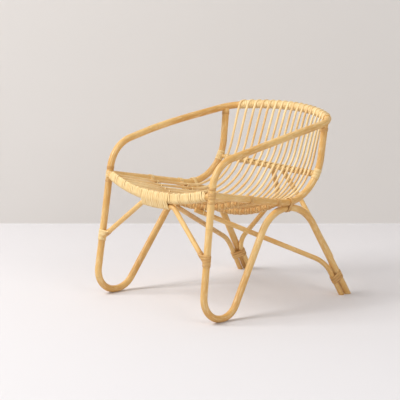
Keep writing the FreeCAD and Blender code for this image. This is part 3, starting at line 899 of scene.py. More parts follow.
class ShapeTrees:
    """Geometry node trees that make canes, strips of peel and rows of ties."""

    swell_reach: float = 0.009
    lump_scale: float = 9.0
    strip_sides: int = 8
    strip_flat: float = 0.4

    def __init__(self) -> None:
        """Build each tree once."""
        self.cane = self.cane_tree()
        self.strip = self.strip_tree()
        self.ties = self.tie_tree()

    @staticmethod
    def attribute(tree: Tree, name: str, kind: str = "FLOAT") -> Socket:
        """Read a named attribute."""
        node = tree.add("GeometryNodeInputNamedAttribute", {"Name": name}, data_type=kind)
        return node.outputs["Attribute"]

    @staticmethod
    def store(tree: Tree, shape: Feed, name: str, value: Feed, kind: str = "FLOAT") -> Socket:
        """Store a value on the points of a shape.

        Args:
            tree: Tree to add to.
            shape: Mesh or curve.
            name: Name of the attribute.
            value: Its value.
            kind: Its kind.

        Returns:
            The shape with the attribute.
        """
        inputs = {"Geometry": shape, "Name": name, "Value": value}
        node = tree.add(
            "GeometryNodeStoreNamedAttribute", inputs, data_type=kind, domain="POINT"
        )
        return node.outputs["Geometry"]

    @staticmethod
    def close(tree: Tree, shape: Socket, finish: Socket) -> None:
        """Shade smooth, realize, set the finish and hand the shape out.

        Args:
            tree: Tree to add to.
            shape: The finished shape.
            finish: Its material.
        """
        for kind in ("GeometryNodeSetShadeSmooth", "GeometryNodeRealizeInstances"):
            shape = tree.add(kind, {"Geometry": shape}).outputs["Geometry"]
        dressed = tree.add("GeometryNodeSetMaterial", {"Geometry": shape, "Material": finish})
        tree.add("NodeGroupOutput", {0: dressed.outputs["Geometry"]})

    def swept(self, tree: Tree, curve: Feed, profile: Feed) -> Socket:
        """Sweep a closed profile along a curve, with lengths and turns stored on the mesh.

        Args:
            tree: Tree to add to.
            curve: Curve to follow.
            profile: Section.

        Returns:
            The swept mesh.
        """
        length = tree.add("GeometryNodeSplineParameter").outputs["Length"]
        factor = tree.add("GeometryNodeSplineParameter").outputs["Factor"]
        inputs = {
            "Curve": self.store(tree, curve, "along", length),
            "Profile Curve": self.store(tree, profile, "around", factor),
            "Fill Caps": True,
        }
        return tree.add("GeometryNodeCurveToMesh", inputs).outputs["Mesh"]

    def cane_tree(self) -> bpy.types.NodeTree:
        """Round cane along a route, swollen at its joints, a little uneven and shaved where marked.

        Returns:
            The tree.
        """
        tree = Tree(bpy.data.node_groups.new("cane_along_route", "GeometryNodeTree"))
        inputs = {
            "Route": "NodeSocketGeometry", "Sides": "NodeSocketInt", "Finish": "NodeSocketMaterial"
        }
        for name in ("Radius", "Step", "Joint Spacing", "Joint Swell", "Uneven", "Shaving"):
            inputs[name] = "NodeSocketFloat"
        given = tree.sockets(inputs, {"Cane": "NodeSocketGeometry"})
        line = tree.add("GeometryNodeMeshToCurve", {"Mesh": given["Route"]}).outputs["Curve"]
        inputs = {"Curve": line, "Length": given["Step"]}
        even = tree.add("GeometryNodeResampleCurve", inputs, mode="LENGTH").outputs["Curve"]
        inputs = {"Resolution": given["Sides"], "Radius": given["Radius"]}
        ring = tree.add("GeometryNodeCurvePrimitiveCircle", inputs, mode="RADIUS").outputs["Curve"]
        place = tree.add("GeometryNodeInputPosition").outputs["Position"]
        body = self.swept(tree, self.store(tree, even, "axis", place, "FLOAT_VECTOR"), ring)

        along, strand = self.attribute(tree, "along"), self.attribute(tree, "strand")
        joint = joint_mask(tree, along, strand, given["Joint Spacing"], self.swell_reach)
        lump = tree.math("SUBTRACT", tree.noise(place, self.lump_scale, 1.0), 0.5)
        swell = tree.math("MULTIPLY", joint, given["Joint Swell"])
        height = tree.math("ADD", swell, tree.math("MULTIPLY", lump, given["Uneven"]))
        normal = tree.add("GeometryNodeInputNormal").outputs["Normal"]
        push = tree.vectors("SCALE", normal, height)

        away = self.attribute(tree, "outward", "FLOAT_VECTOR")
        from_axis = tree.vectors("SUBTRACT", place, self.attribute(tree, "axis", "FLOAT_VECTOR"))
        above = tree.math("ADD", tree.vectors("DOT_PRODUCT", from_axis, away), given["Radius"])
        lower = tree.math("MULTIPLY", above, given["Shaving"])
        lower = tree.math("MULTIPLY", lower, self.attribute(tree, "shaved"))
        pared = tree.vectors("SCALE", away, tree.math("MULTIPLY", lower, -1.0))
        inputs = {"Geometry": body, "Offset": tree.vectors("ADD", push, pared)}
        moved = tree.add("GeometryNodeSetPosition", inputs)
        self.close(tree, moved.outputs["Geometry"], given["Finish"])
        return tree.tree

    def strip_tree(self) -> bpy.types.NodeTree:
        """Flat strip of peel with a low crown, lying flat on what it is wound on.

        Returns:
            The tree.
        """
        tree = Tree(bpy.data.node_groups.new("peel_along_route", "GeometryNodeTree"))
        inputs = {
            "Route": "NodeSocketGeometry", "Width": "NodeSocketFloat",
            "Thickness": "NodeSocketFloat", "Finish": "NodeSocketMaterial",
        }
        given = tree.sockets(inputs, {"Peel": "NodeSocketGeometry"})
        line = tree.add("GeometryNodeMeshToCurve", {"Mesh": given["Route"]}).outputs["Curve"]
        inputs = {"Curve": line, "Normal": self.attribute(tree, "outward", "FLOAT_VECTOR")}
        facing = tree.add("GeometryNodeSetCurveNormal", inputs, mode="FREE").outputs["Curve"]
        inputs = {"Resolution": self.strip_sides, "Radius": 0.5}
        ring = tree.add("GeometryNodeCurvePrimitiveCircle", inputs, mode="RADIUS").outputs["Curve"]
        place = tree.add("GeometryNodeInputPosition").outputs["Position"]
        parts = tree.add("ShaderNodeSeparateXYZ", {0: place}).outputs
        squared = [
            tree.spread(parts[axis], -self.strip_flat, self.strip_flat, -0.5, 0.5)
            for axis in ("X", "Y")
        ]
        inputs = {"Geometry": ring, "Position": tree.vector(*squared, 0.0)}
        square = tree.add("GeometryNodeSetPosition", inputs).outputs["Geometry"]
        scale = tree.vector(given["Thickness"], given["Width"], 1.0)
        flat = tree.add("GeometryNodeTransform", {"Geometry": square, "Scale": scale})
        body = self.swept(tree, facing, flat.outputs["Geometry"])
        self.close(tree, body, given["Finish"])
        return tree.tree

    def tie_tree(self) -> bpy.types.NodeTree:
        """One tie at each crossing, turned to its rail and its spindle.

        Returns:
            The tree.
        """
        tree = Tree(bpy.data.node_groups.new("ties_on_crossings", "GeometryNodeTree"))
        inputs = {
            "Crossings": "NodeSocketGeometry", "Tie": "NodeSocketObject",
            "Finish": "NodeSocketMaterial",
        }
        given = tree.sockets(inputs, {"Ties": "NodeSocketGeometry"})
        inputs = {"Object": given["Tie"]}
        tie = tree.add("GeometryNodeObjectInfo", inputs, transform_space="ORIGINAL")
        inputs = {
            "Primary Axis": self.attribute(tree, "outward", "FLOAT_VECTOR"),
            "Secondary Axis": self.attribute(tree, "rail_way", "FLOAT_VECTOR"),
        }
        turn = tree.add(
            "FunctionNodeAxesToRotation", inputs, primary_axis="Z", secondary_axis="X"
        )
        inputs = {
            "Points": given["Crossings"],
            "Instance": tie.outputs["Geometry"],
            "Rotation": turn.outputs["Rotation"],
        }
        row = tree.add("GeometryNodeInstanceOnPoints", inputs)
        self.close(tree, row.outputs["Instances"], given["Finish"])
        return tree.tree


# Finishes


class FinishGroups:
    """Shader node groups that several finishes share."""

    strand_shift: float = 37.0
    fibre_detail: float = 4.0
    drift_detail: float = 2.0
    joint_reach: float = 0.004
    edge_from: float = 0.6

    def __init__(self) -> None:
        """Build each group once."""
        self.fibre = self.fibre_group()

    def fibre_group(self) -> bpy.types.NodeTree:
        """Fibres along a cane or strip, slow drift of tone, joints, and a mask at the edges of a
        strip for painted shade in the seams between turns.

        Returns:
            The group.
        """
        tree = Tree(bpy.data.node_groups.new("cane_fibre", "ShaderNodeTree"))
        names = (
            "Along", "Around", "Strand", "Fibre Length", "Fibre Count", "Drift Length",
            "Joint Spacing",
        )
        outputs = {name: "NodeSocketFloat" for name in ("Fibre", "Drift", "Joint", "Edge")}
        given = tree.sockets({name: "NodeSocketFloat" for name in names}, outputs)
        along, strand = given["Along"], given["Strand"]
        angle = tree.math("MULTIPLY", given["Around"], math.tau)
        east, north = tree.math("COSINE", angle), tree.math("SINE", angle)
        shift = tree.math("MULTIPLY", strand, self.strand_shift)
        run = tree.math("ADD", tree.math("DIVIDE", along, given["Fibre Length"]), shift)
        round_cane = [tree.math("MULTIPLY", part, given["Fibre Count"]) for part in (east, north)]
        slow = tree.math("ADD", tree.math("DIVIDE", along, given["Drift Length"]), shift)
        values = {
            "Fibre": tree.noise(tree.vector(*round_cane, run), 1.0, self.fibre_detail),
            "Drift": tree.noise(tree.vector(strand, shift, slow), 1.0, self.drift_detail),
            "Joint": joint_mask(tree, along, strand, given["Joint Spacing"], self.joint_reach),
            # Mask at the edges of a strip, for the painted shade in the seams between turns
            "Edge": tree.spread(tree.math("ABSOLUTE", north), self.edge_from, 1.0),
        }
        tree.add("NodeGroupOutput", values)
        return tree.tree


@dataclass(frozen=True)
class CaneFinish:
    """Lacquered cane or peel.

    Args:
        name: Name of the material.
        deep: Darkest tone.
        mid: Main tone.
        pale: Lightest tone.
        joint: Tone of the joints, and of the painted shade at the edges of a strip.
        joint_share: How strongly the joints show.
        fibre_length: Length of a fibre streak, metres.
        fibre_count: Streaks round the cane.
        drift_length: Length over which the tone drifts, metres.
        joint_spacing: Distance between joints, metres.
        roughness: Lowest and highest roughness.
        edge_share: How much darker the edges of a strip are painted, as painted shade in the seams
            between turns.
        drift_range: Drift at which the deep tone has turned into the main tone.
        pale_range: Fibre at which the pale tone comes in.
        pale_share: How far it comes in.
        deep_range: Fibre at which the deep tone comes in.
        deep_share: How far it comes in.
        gloss_range: Fibre from the highest to the lowest roughness.
        bump: Strength of the fibre bump.
        bump_depth: Depth of the fibre bump, metres.
        joint_dip: Depth of a joint, in fibres.
        coat: Weight of the lacquer.
        coat_roughness: Roughness of the lacquer.
        specular: Level of the cane's own gloss.
    """

    name: str
    deep: Colour
    mid: Colour
    pale: Colour
    joint: Colour
    joint_share: float = 0.16
    fibre_length: float = 0.030
    fibre_count: float = 2.6
    drift_length: float = 0.18
    joint_spacing: float = 0.31
    roughness: tuple[float, float] = (0.36, 0.56)
    edge_share: float = 0.0
    drift_range: tuple[float, float] = (0.32, 0.66)
    pale_range: tuple[float, float] = (0.45, 0.75)
    pale_share: float = 0.5
    deep_range: tuple[float, float] = (0.42, 0.24)
    deep_share: float = 0.35
    gloss_range: tuple[float, float] = (0.3, 0.7)
    bump: float = 0.25
    bump_depth: float = 0.0008
    joint_dip: float = 0.6
    coat: float = 0.18
    coat_roughness: float = 0.28
    specular: float = 0.4

    def material(self, groups: FinishGroups) -> bpy.types.Material:
        """Build the material.

        Args:
            groups: Shared shader groups.

        Returns:
            The finished material.
        """
        material = bpy.data.materials.new(self.name)
        material.use_nodes = True
        tree = Tree(material.node_tree)
        shader = material.node_tree.nodes["Principled BSDF"]
        inputs: dict[str | int, Feed] = {
            "Fibre Length": self.fibre_length,
            "Fibre Count": self.fibre_count,
            "Drift Length": self.drift_length,
            "Joint Spacing": self.joint_spacing,
        }
        for name in ("along", "around", "strand"):
            source = tree.add("ShaderNodeAttribute", attribute_name=name)
            inputs[name.title()] = source.outputs["Fac"]
        group = tree.add("ShaderNodeGroup", inputs, node_tree=groups.fibre)
        fibre, drift, joint, edge = (
            group.outputs[name] for name in ("Fibre", "Drift", "Joint", "Edge")
        )

        tone = tree.blend(tree.spread(drift, *self.drift_range), self.deep, self.mid)
        pale = tree.spread(fibre, *self.pale_range, 0.0, self.pale_share)
        tone = tree.blend(pale, tone, self.pale)
        deep = tree.spread(fibre, *self.deep_range, 0.0, self.deep_share)
        tone = tree.blend(deep, tone, self.deep)
        # Joints are darkened, and the edges of a strip get painted shade for the dark seams between
        # turns
        for mask, share in ((joint, self.joint_share), (edge, self.edge_share)):
            tone = tree.blend(tree.math("MULTIPLY", mask, share), tone, self.joint)
        smooth, rough = self.roughness
        height = tree.math("SUBTRACT", fibre, tree.math("MULTIPLY", joint, self.joint_dip))
        bump = {"Strength": self.bump, "Distance": self.bump_depth, "Height": height}
        for name, value in {
            "Base Color": tone,
            "Roughness": tree.spread(fibre, *self.gloss_range, rough, smooth),
            "Normal": tree.add("ShaderNodeBump", bump).outputs["Normal"],
            "Coat Weight": self.coat,
            "Coat Roughness": self.coat_roughness,
            "Specular IOR Level": self.specular,
        }.items():
            tree.feed(shader.inputs[name], value)
        return material


class Finishes:
    """The finishes of the chair: one for each kind of cane, and two for the peel."""

    def __init__(self) -> None:
        """Build the materials."""
        groups = FinishGroups()
        tones = {"deep": shade(212, 160, 86), "mid": shade(232, 190, 120)}
        grain = {
            "joint_share": 0.1, "fibre_length": 0.020, "fibre_count": 1.2, "joint_spacing": 0.43
        }
        pole = CaneFinish(
            "honey_cane_pole",
            **tones,
            pale=shade(246, 220, 170),
            joint=shade(172, 118, 58),
        )
        thin = CaneFinish(
            "honey_cane_thin_pole",
            **tones,
            pale=shade(244, 214, 158),
            joint=shade(170, 116, 60),
            joint_spacing=0.24,
        )
        spindle = CaneFinish(
            "pale_spindle_cane",
            deep=shade(224, 182, 118),
            mid=shade(245, 216, 160),
            pale=shade(251, 232, 190),
            joint=shade(190, 138, 80),
            joint_share=0.12,
            fibre_count=1.6,
            joint_spacing=0.27,
        )
        cream = CaneFinish(
            "cream_peel",
            deep=shade(234, 198, 134),
            mid=shade(245, 217, 158),
            pale=shade(249, 227, 178),
            joint=shade(200, 150, 90),
            **grain,
            drift_length=0.05,
            roughness=(0.4, 0.6),
            # Darker strip edges: painted shade in the seams between turns
            edge_share=0.28,
        )
        honey = CaneFinish(
            "honey_peel",
            deep=shade(206, 154, 84),
            mid=shade(227, 182, 112),
            pale=shade(236, 200, 146),
            joint=shade(180, 126, 70),
            **grain,
            drift_length=0.07,
            roughness=(0.42, 0.62),
            # Darker strip edges: painted shade in the seams between turns
            edge_share=0.7,
        )
        self.by_slot = {
            Slot.POLE: pole.material(groups),
            Slot.THIN_POLE: thin.material(groups),
            Slot.SPINDLE: spindle.material(groups),
        }
        self.peels = {Peel.CREAM: cream.material(groups), Peel.HONEY: honey.material(groups)}


# Shop: turns routes into finished pieces


@dataclass
class Strip:
    """Route of a strip of peel with its outward direction at each point.

    Args:
        points: Points of the route.
        outward: Outward direction at each point.
    """

    points: list[Vector]
    outward: list[Vector]


@dataclass(frozen=True)
class CaneStock:
    """How a cane is drawn.

    Args:
        slot: Material slot.
        radius: Radius, millimetres.
        sides: Sides of its section.
        step: Distance between sections, millimetres.
        joint_spacing: Distance between joints, millimetres.
        swell: Rise of a joint, millimetres.
        uneven: Unevenness of its surface, millimetres.
        shaved: Share of its thickness that is shaved off where it is flat.
    """

    slot: Slot
    radius: float
    sides: int
    step: float
    joint_spacing: float
    swell: float
    uneven: float
    shaved: float = 0.0


class Shop:
    """Turns routes into finished pieces that ride on the chair."""

    strand_step: float = 0.618034
    working_marks: tuple[str, ...] = ("axis", "outward", "shaved", "rail_way")

    def __init__(self, finishes: Finishes) -> None:
        """Keep the finishes and build the shape trees.

        Args:
            finishes: Finishes of the chair.
        """
        self.finishes = finishes
        self.trees = ShapeTrees()
        self.strands = 0

    @staticmethod
    def chain(name: str, chains: Sequence[Sequence[Vector]]) -> bpy.types.Object:
        """Make an object of open chains of edges, in metres.

        Args:
            name: Name of the object.
            chains: Points of each chain.

        Returns:
            The object.
        """
        points = [tuple(point * MM) for chain in chains for point in chain]
        edges = []
        start = 0
        for chain in chains:
            edges += [(start + number, start + number + 1) for number in range(len(chain) - 1)]
            start += len(chain)
        mesh = bpy.data.meshes.new(name)
        mesh.from_pydata(points, edges, [])
        piece = bpy.data.objects.new(name, mesh)
        bpy.context.collection.objects.link(piece)
        return piece

    @staticmethod
    def mark(
        piece: bpy.types.Object, name: str, values: Sequence[float] | Sequence[Vector]
    ) -> None:
        """Store a value or a vector on each point of a chain.

        Args:
            piece: Object that holds the chain.
            name: Name of the attribute.
            values: Its value at each point.
        """
        if isinstance(values[0], Vector):
            layer = piece.data.attributes.new(name, "FLOAT_VECTOR", "POINT")
            layer.data.foreach_set("vector", [part for value in values for part in value])
        else:
            layer = piece.data.attributes.new(name, "FLOAT", "POINT")
            layer.data.foreach_set("value", values)

    def numbered(self, name: str, chains: Sequence[Sequence[Vector]]) -> bpy.types.Object:
        """Make an object of chains, each with a number of its own that is the same in every run.

        Args:
            name: Name of the object.
            chains: Points of each chain.

        Returns:
            The object.
        """
        piece = self.chain(name, chains)
        numbers = []
        for chain in chains:
            self.strands += 1
            numbers += [(self.strands * self.strand_step) % 1.0] * len(chain)
        self.mark(piece, "strand", numbers)
        return piece

    def shape(
        self, piece: bpy.types.Object, tree: bpy.types.NodeTree, values: dict[str, object]
    ) -> None:
        """Run a shape tree on a piece and keep the result as its plain mesh.

        Args:
            piece: Object that holds the route.
            tree: Shape tree.
            values: Values of the tree's inputs, by name.
        """
        modifier = piece.modifiers.new("shape", "NODES")
        modifier.node_group = tree
        for item in tree.interface.items_tree:
            if item.in_out == "INPUT" and item.name in values:
                modifier[item.identifier] = values[item.name]
        depsgraph = bpy.context.evaluated_depsgraph_get()
        mesh = bpy.data.meshes.new_from_object(piece.evaluated_get(depsgraph), depsgraph=depsgraph)
        mesh.name = piece.name
        piece.modifiers.clear()
        piece.data = mesh
        for name in self.working_marks:
            if name in mesh.attributes:
                mesh.attributes.remove(mesh.attributes[name])

    @staticmethod
    def cut_at_floor(piece: bpy.types.Object) -> None:
        """Cut a piece flat where it meets the floor, and close the cut.

        Args:
            piece: Piece that runs below the floor.
        """
        body = bmesh.new()
        body.from_mesh(piece.data)
        everything = body.verts[:] + body.edges[:] + body.faces[:]
        bmesh.ops.bisect_plane(
            body, geom=everything, plane_co=Vector(), plane_no=UPWARDS, clear_inner=True
        )
        rims = [edge for edge in body.edges if edge.is_boundary]
        bmesh.ops.holes_fill(body, edges=rims, sides=0)
        bmesh.ops.recalc_face_normals(body, faces=body.faces[:])
        body.to_mesh(piece.data)
        body.free()

    def canes(
        self,
        name: str,
        routes: Sequence[Route],
        stock: CaneStock,
        shaving: Sequence[tuple[float, Vector]] = (),
    ) -> bpy.types.Object:
        """Make canes along routes as one mesh.

        Args:
            name: Name of the piece.
            routes: Axes of the canes.
            stock: How they are drawn.
            shaving: How flat each point of the routes is shaved, and from which side.

        Returns:
            The piece.
        """
        piece = self.numbered(name, [route.points for route in routes])
        if shaving:
            self.mark(piece, "shaved", [share for share, _ in shaving])
            self.mark(piece, "outward", [way for _, way in shaving])
        values = {
            "Radius": stock.radius * MM,
            "Shaving": stock.shaved,
            "Sides": stock.sides,
            "Step": stock.step * MM,
            "Joint Spacing": stock.joint_spacing * MM,
            "Joint Swell": stock.swell * MM,
            "Uneven": stock.uneven * MM,
            "Finish": self.finishes.by_slot[stock.slot],
        }
        self.shape(piece, self.trees.cane, values)
        return piece

    def strips(
        self, name: str, strips: Sequence[Strip], width: float, thick: float, peel: Peel
    ) -> bpy.types.Object:
        """Make strips of peel along routes as one mesh.

        Args:
            name: Name of the piece.
            strips: Routes with their outward directions.
            width: Width of the peel.
            thick: Thickness of the peel.
            peel: Which peel it is.

        Returns:
            The piece.
        """
        piece = self.numbered(name, [strip.points for strip in strips])
        self.mark(piece, "outward", [way for strip in strips for way in strip.outward])
        values = {
            "Width": width * MM, "Thickness": thick * MM, "Finish": self.finishes.peels[peel]
        }
        self.shape(piece, self.trees.strip, values)
        return piece

    @staticmethod
    def hand_in(piece: bpy.types.Object, slot: Slot, nodes: Sequence[str] = ()) -> None:
        """Let a piece ride on the chair and stand for its nodes.

        Args:
            piece: Finished piece.
            slot: Material slot of the piece; not used.
            nodes: Nodes that it replaces; none for trim.
        """
        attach(piece, "root")
        if nodes:
            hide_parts(*nodes)
        faces = len(piece.data.polygons)
        LOG.info("%s: %d faces, stands for %s", piece.name, faces, ", ".join(nodes) or "trim")


# Winding of peel


def hull(points: list[tuple[float, float]]) -> list[tuple[float, float]]:
    """Tightest outline round points, anticlockwise.

    Args:
        points: Points of a plane.

    Returns:
        Corners of the outline.
    """
    points = sorted(set(points))

    def half(source: Sequence[tuple[float, float]]) -> list[tuple[float, float]]:
        """Work out one side of the outline.

        Args:
            source: Points in order along the side.

        Returns:
            Its corners, without the last.
        """
        chain: list[tuple[float, float]] = []
        for point in source:
            while len(chain) > 1:
                (ax, ay), (bx, by) = chain[-2], chain[-1]
                if (bx - ax) * (point[1] - ay) - (by - ay) * (point[0] - ax) > 0:
                    break
                chain.pop()
            chain.append(point)
        return chain[:-1]

    return half(points) + half(points[::-1])


def outline(
    discs: Sequence[tuple[float, float, float, float]], count: int
) -> list[tuple[Vector, Vector]]:
    """Even points on a tight belt round discs.

    Args:
        discs: Centre x, centre y, and half width in x and y of each disc.
        count: Number of points.

    Returns:
        Point and outward direction of each, as plane vectors with z = 0.
    """
    samples = []
    for x, y, wide, high in discs:
        for number in range(DISC_STEPS):
            angle = math.tau * number / DISC_STEPS
            samples.append((x + wide * math.cos(angle), y + high * math.sin(angle)))
    corners = [Vector((*corner, 0.0)) for corner in hull(samples)]
    loop = Route(corners + corners[:1])
    spots = [loop.at(loop.length * number / count)[0] for number in range(count)]
    result = []
    for number, spot in enumerate(spots):
        way = spots[(number + 1) % count] - spots[number - 1]
        result.append((spot, Vector((way.y, -way.x, 0.0)).normalized()))
    return result


@dataclass
class Winding:
    """Peel wound round one or more poles, turn beside turn.

    Args:
        axis: Route that the winding follows.
        start: Length along it where the winding starts.
        finish: Length along it where the winding ends.
        discs: Poles inside, each as an offset from the axis and a radius.
        turn: Wanted width of one turn.
        thick: Thickness of the peel.
        upright: Direction that the frame along the axis leans on.
        count: Points in one turn.
        slack: Bare share of each turn.
        group: Turns that lie close before a gap; 0 for no gaps.
        group_gap: Width of a gap.
        sink: Length over which the last pole runs into the first; 0 for side by side.
        bumps: Lengths along the axis where a spindle end lies under the peel.
        bump: Offset and radius of a spindle end.
        ripple: How far the peel dips between spindle ends.
        beside: Axis of a pole that comes alongside and leaves again, in place of the last disc.
    """

    axis: Route
    start: float
    finish: float
    discs: list[Disc]
    turn: float
    thick: float = Stock.peel
    upright: Vector = field(default_factory=lambda: UPWARDS.copy())
    count: int = 18
    slack: float = 0.04
    group: int = 0
    group_gap: float = 0.0
    sink: float = 0.0
    bumps: Sequence[float] = ()
    bump: Disc = (Vector(), 0.0)
    ripple: float = 0.02
    beside: Route | None = None

    @property
    def turns(self) -> int:
        """Whole turns that fill the winding."""
        return max(2, round((self.finish - self.start) / self.turn))

    @property
    def width(self) -> float:
        """Width of the peel."""
        return (self.finish - self.start) / self.turns * (1 - self.slack)

    def frame(self, length: float) -> tuple[Vector, Vector, Vector]:
        """Find the place of the winding's plane.

        Args:
            length: Length along the axis.

        Returns:
            Point of the axis and the two directions across it.
        """
        point, heading = self.axis.at(length)
        right = self.upright.cross(heading).normalized()
        return point, right, heading.cross(right).normalized()

    def length_at(self, turn: float) -> float:
        """Find the length along the axis after a number of turns.

        Args:
            turn: Number of turns; past either end the winding stays level.

        Returns:
            The length.
        """
        turn = min(max(turn, 0.0), self.turns - 1.0)
        gaps = gaps_before = 0.0
        if self.group:
            gaps = self.group_gap * ((self.turns - 1) // self.group)
            whole, part = divmod(turn, self.group)
            gaps_before = self.group_gap * (whole + min(max(part - self.group + 1, 0.0), 1.0))
        run = self.finish - self.start - self.width - gaps
        return self.start + self.width / 2 + run * turn / (self.turns - 1) + min(gaps_before, gaps)

    def belt(self, length: float) -> list[tuple[Vector, Vector]]:
        """Work out the outline of what lies inside.

        Args:
            length: Length along the axis.

        Returns:
            Points of the outline with their outward directions, in the winding's plane.
        """
        _, right, up = self.frame((self.start + self.finish) / 2)
        discs = list(self.discs)
        if self.sink:
            offset, radius = discs.pop()
            discs.append((offset * max(0.0, 1 - (length - self.start) / self.sink), radius))
        if self.beside:
            point = self.axis.at(length)[0]
            across = self.beside.where(ACROSS, point.x, 0.0, self.beside.length)
            discs[-1] = (self.beside.at(across)[0] - point, discs[-1][1])
        if self.bumps:
            near = min(abs(length - place) for place in self.bumps)
            pitch = abs(self.bumps[1] - self.bumps[0])
            offset, radius = self.bump
            ripple = self.ripple * math.cos(min(near / pitch, 0.5) * math.tau)
            fade = min(max(2.0 - near / pitch, 0.0), 1.0)
            discs.append((offset * ((1 - self.ripple + ripple) * fade), radius))
        lift = self.thick / 2
        flat = [
            (offset.dot(right), offset.dot(up), radius + lift, radius + lift)
            for offset, radius in discs
        ]
        return outline(flat, self.count)

    def strip(self) -> Strip:
        """Work out the winding's route, with a level turn at each end.

        Returns:
            The route with its outward directions.
        """
        points, outward = [], []
        for number in range(self.turns * self.count + 1):
            length = self.length_at(number / self.count - 0.5)
            point, right, up = self.frame(length)
            spot, way = self.belt(length)[number % self.count]
            points.append(point + right * spot.x + up * spot.y)
            outward.append(right * way.x + up * way.y)
        return Strip(points, outward)


# Sub-assemblies


class Stocks(Enum):
    """Canes that the chair is made of; the spindles are drawn a little stouter than the solids."""

    POLE = CaneStock(
        Slot.POLE, Stock.pole, sides=28, step=7.0, joint_spacing=310.0, swell=0.25, uneven=0.7
    )
    THIN = CaneStock(
        Slot.THIN_POLE, Stock.thin, sides=24, step=6.0, joint_spacing=240.0, swell=0.2, uneven=0.6
    )
    CROSS = CaneStock(
        Slot.THIN_POLE, Stock.cross, sides=20, step=10.0, joint_spacing=260.0, swell=0.2, uneven=0.3
    )
    LUMBAR = CaneStock(
        Slot.THIN_POLE, Stock.lumbar, sides=20, step=10.0, joint_spacing=260.0, swell=0.2,
        uneven=0.3,
    )
    SPINDLE = CaneStock(
        Slot.SPINDLE, radius=5.0, sides=12, step=7.0, joint_spacing=270.0, swell=0.25,
        uneven=0.5, shaved=0.5,
    )


@dataclass
class Poles:
    """Arm hoop, leg loops, side rails, rails, braces and stretchers."""

    lines: ChairLines
    shop: Shop

    def pole(self, node: str, route: Route, stock: Stocks, on_floor: bool = False) -> None:
        """Make one pole in place of its node.

        Args:
            node: Node that it stands for.
            route: Its axis.
            stock: Cane that it is made of.
            on_floor: Whether it is cut flat at the floor.
        """
        piece = self.shop.canes(f"{node}_cane", [route], stock.value)
        if on_floor:
            self.shop.cut_at_floor(piece)
        self.shop.hand_in(piece, stock.value.slot, [node])

    def coped(self, route: Route) -> Route:
        """Route of a pole whose two ends are coped into others."""
        return route.between(self.lines.stock.cope, route.length - self.lines.stock.cope)

    def build(self) -> None:
        """Make every pole."""
        arms, rails, legs = self.lines.arms, self.lines.rails, self.lines.legs
        self.pole("arm_hoop", arms.hoop, Stocks.POLE)
        for node, bow, stock in (
            ("front_rail", rails.front, Stocks.POLE),
            ("cross_rail_front", rails.cross_front_bow, Stocks.CROSS),
            ("cross_rail_rear", rails.cross_rear_bow, Stocks.CROSS),
            ("lumbar_rail", rails.lumbar, Stocks.LUMBAR),
        ):
            self.pole(node, self.coped(bow.route()), stock)
        self.pole("front_brace", self.lines.brace.route, Stocks.THIN)
        brace = legs.brace.between(0.0, legs.brace.length - self.lines.stock.lumbar)
        for side in Side:
            self.pole(f"side_rail_{side.label}", self.coped(arms.side.on(side)), Stocks.POLE)
            for name, route, stock in (
                ("leg_loop", legs.loop, Stocks.POLE),
                ("stretcher", legs.stretcher, Stocks.THIN),
                ("rear_brace", brace, Stocks.THIN),
            ):
                self.pole(f"{name}_{side.label}", route.on(side), stock, on_floor=True)


@dataclass
class SpindleSeat:
    """The seventeen spindles of seat and back."""

    lines: ChairLines
    shop: Shop

    def build(self) -> None:
        """Make the spindles as one piece in place of their nodes."""
        spindles = self.lines.spindles
        routes = {x: spindles.route(x) for x in spindles.places()}
        shaving = [
            spindles.shaving(x, point) for x, route in routes.items() for point in route.points
        ]
        stock = Stocks.SPINDLE.value
        piece = self.shop.canes("seat_spindles", list(routes.values()), stock, shaving)
        nodes = [f"spindle_{number + 1:02d}" for number in range(spindles.count)]
        self.shop.hand_in(piece, stock.slot, nodes)


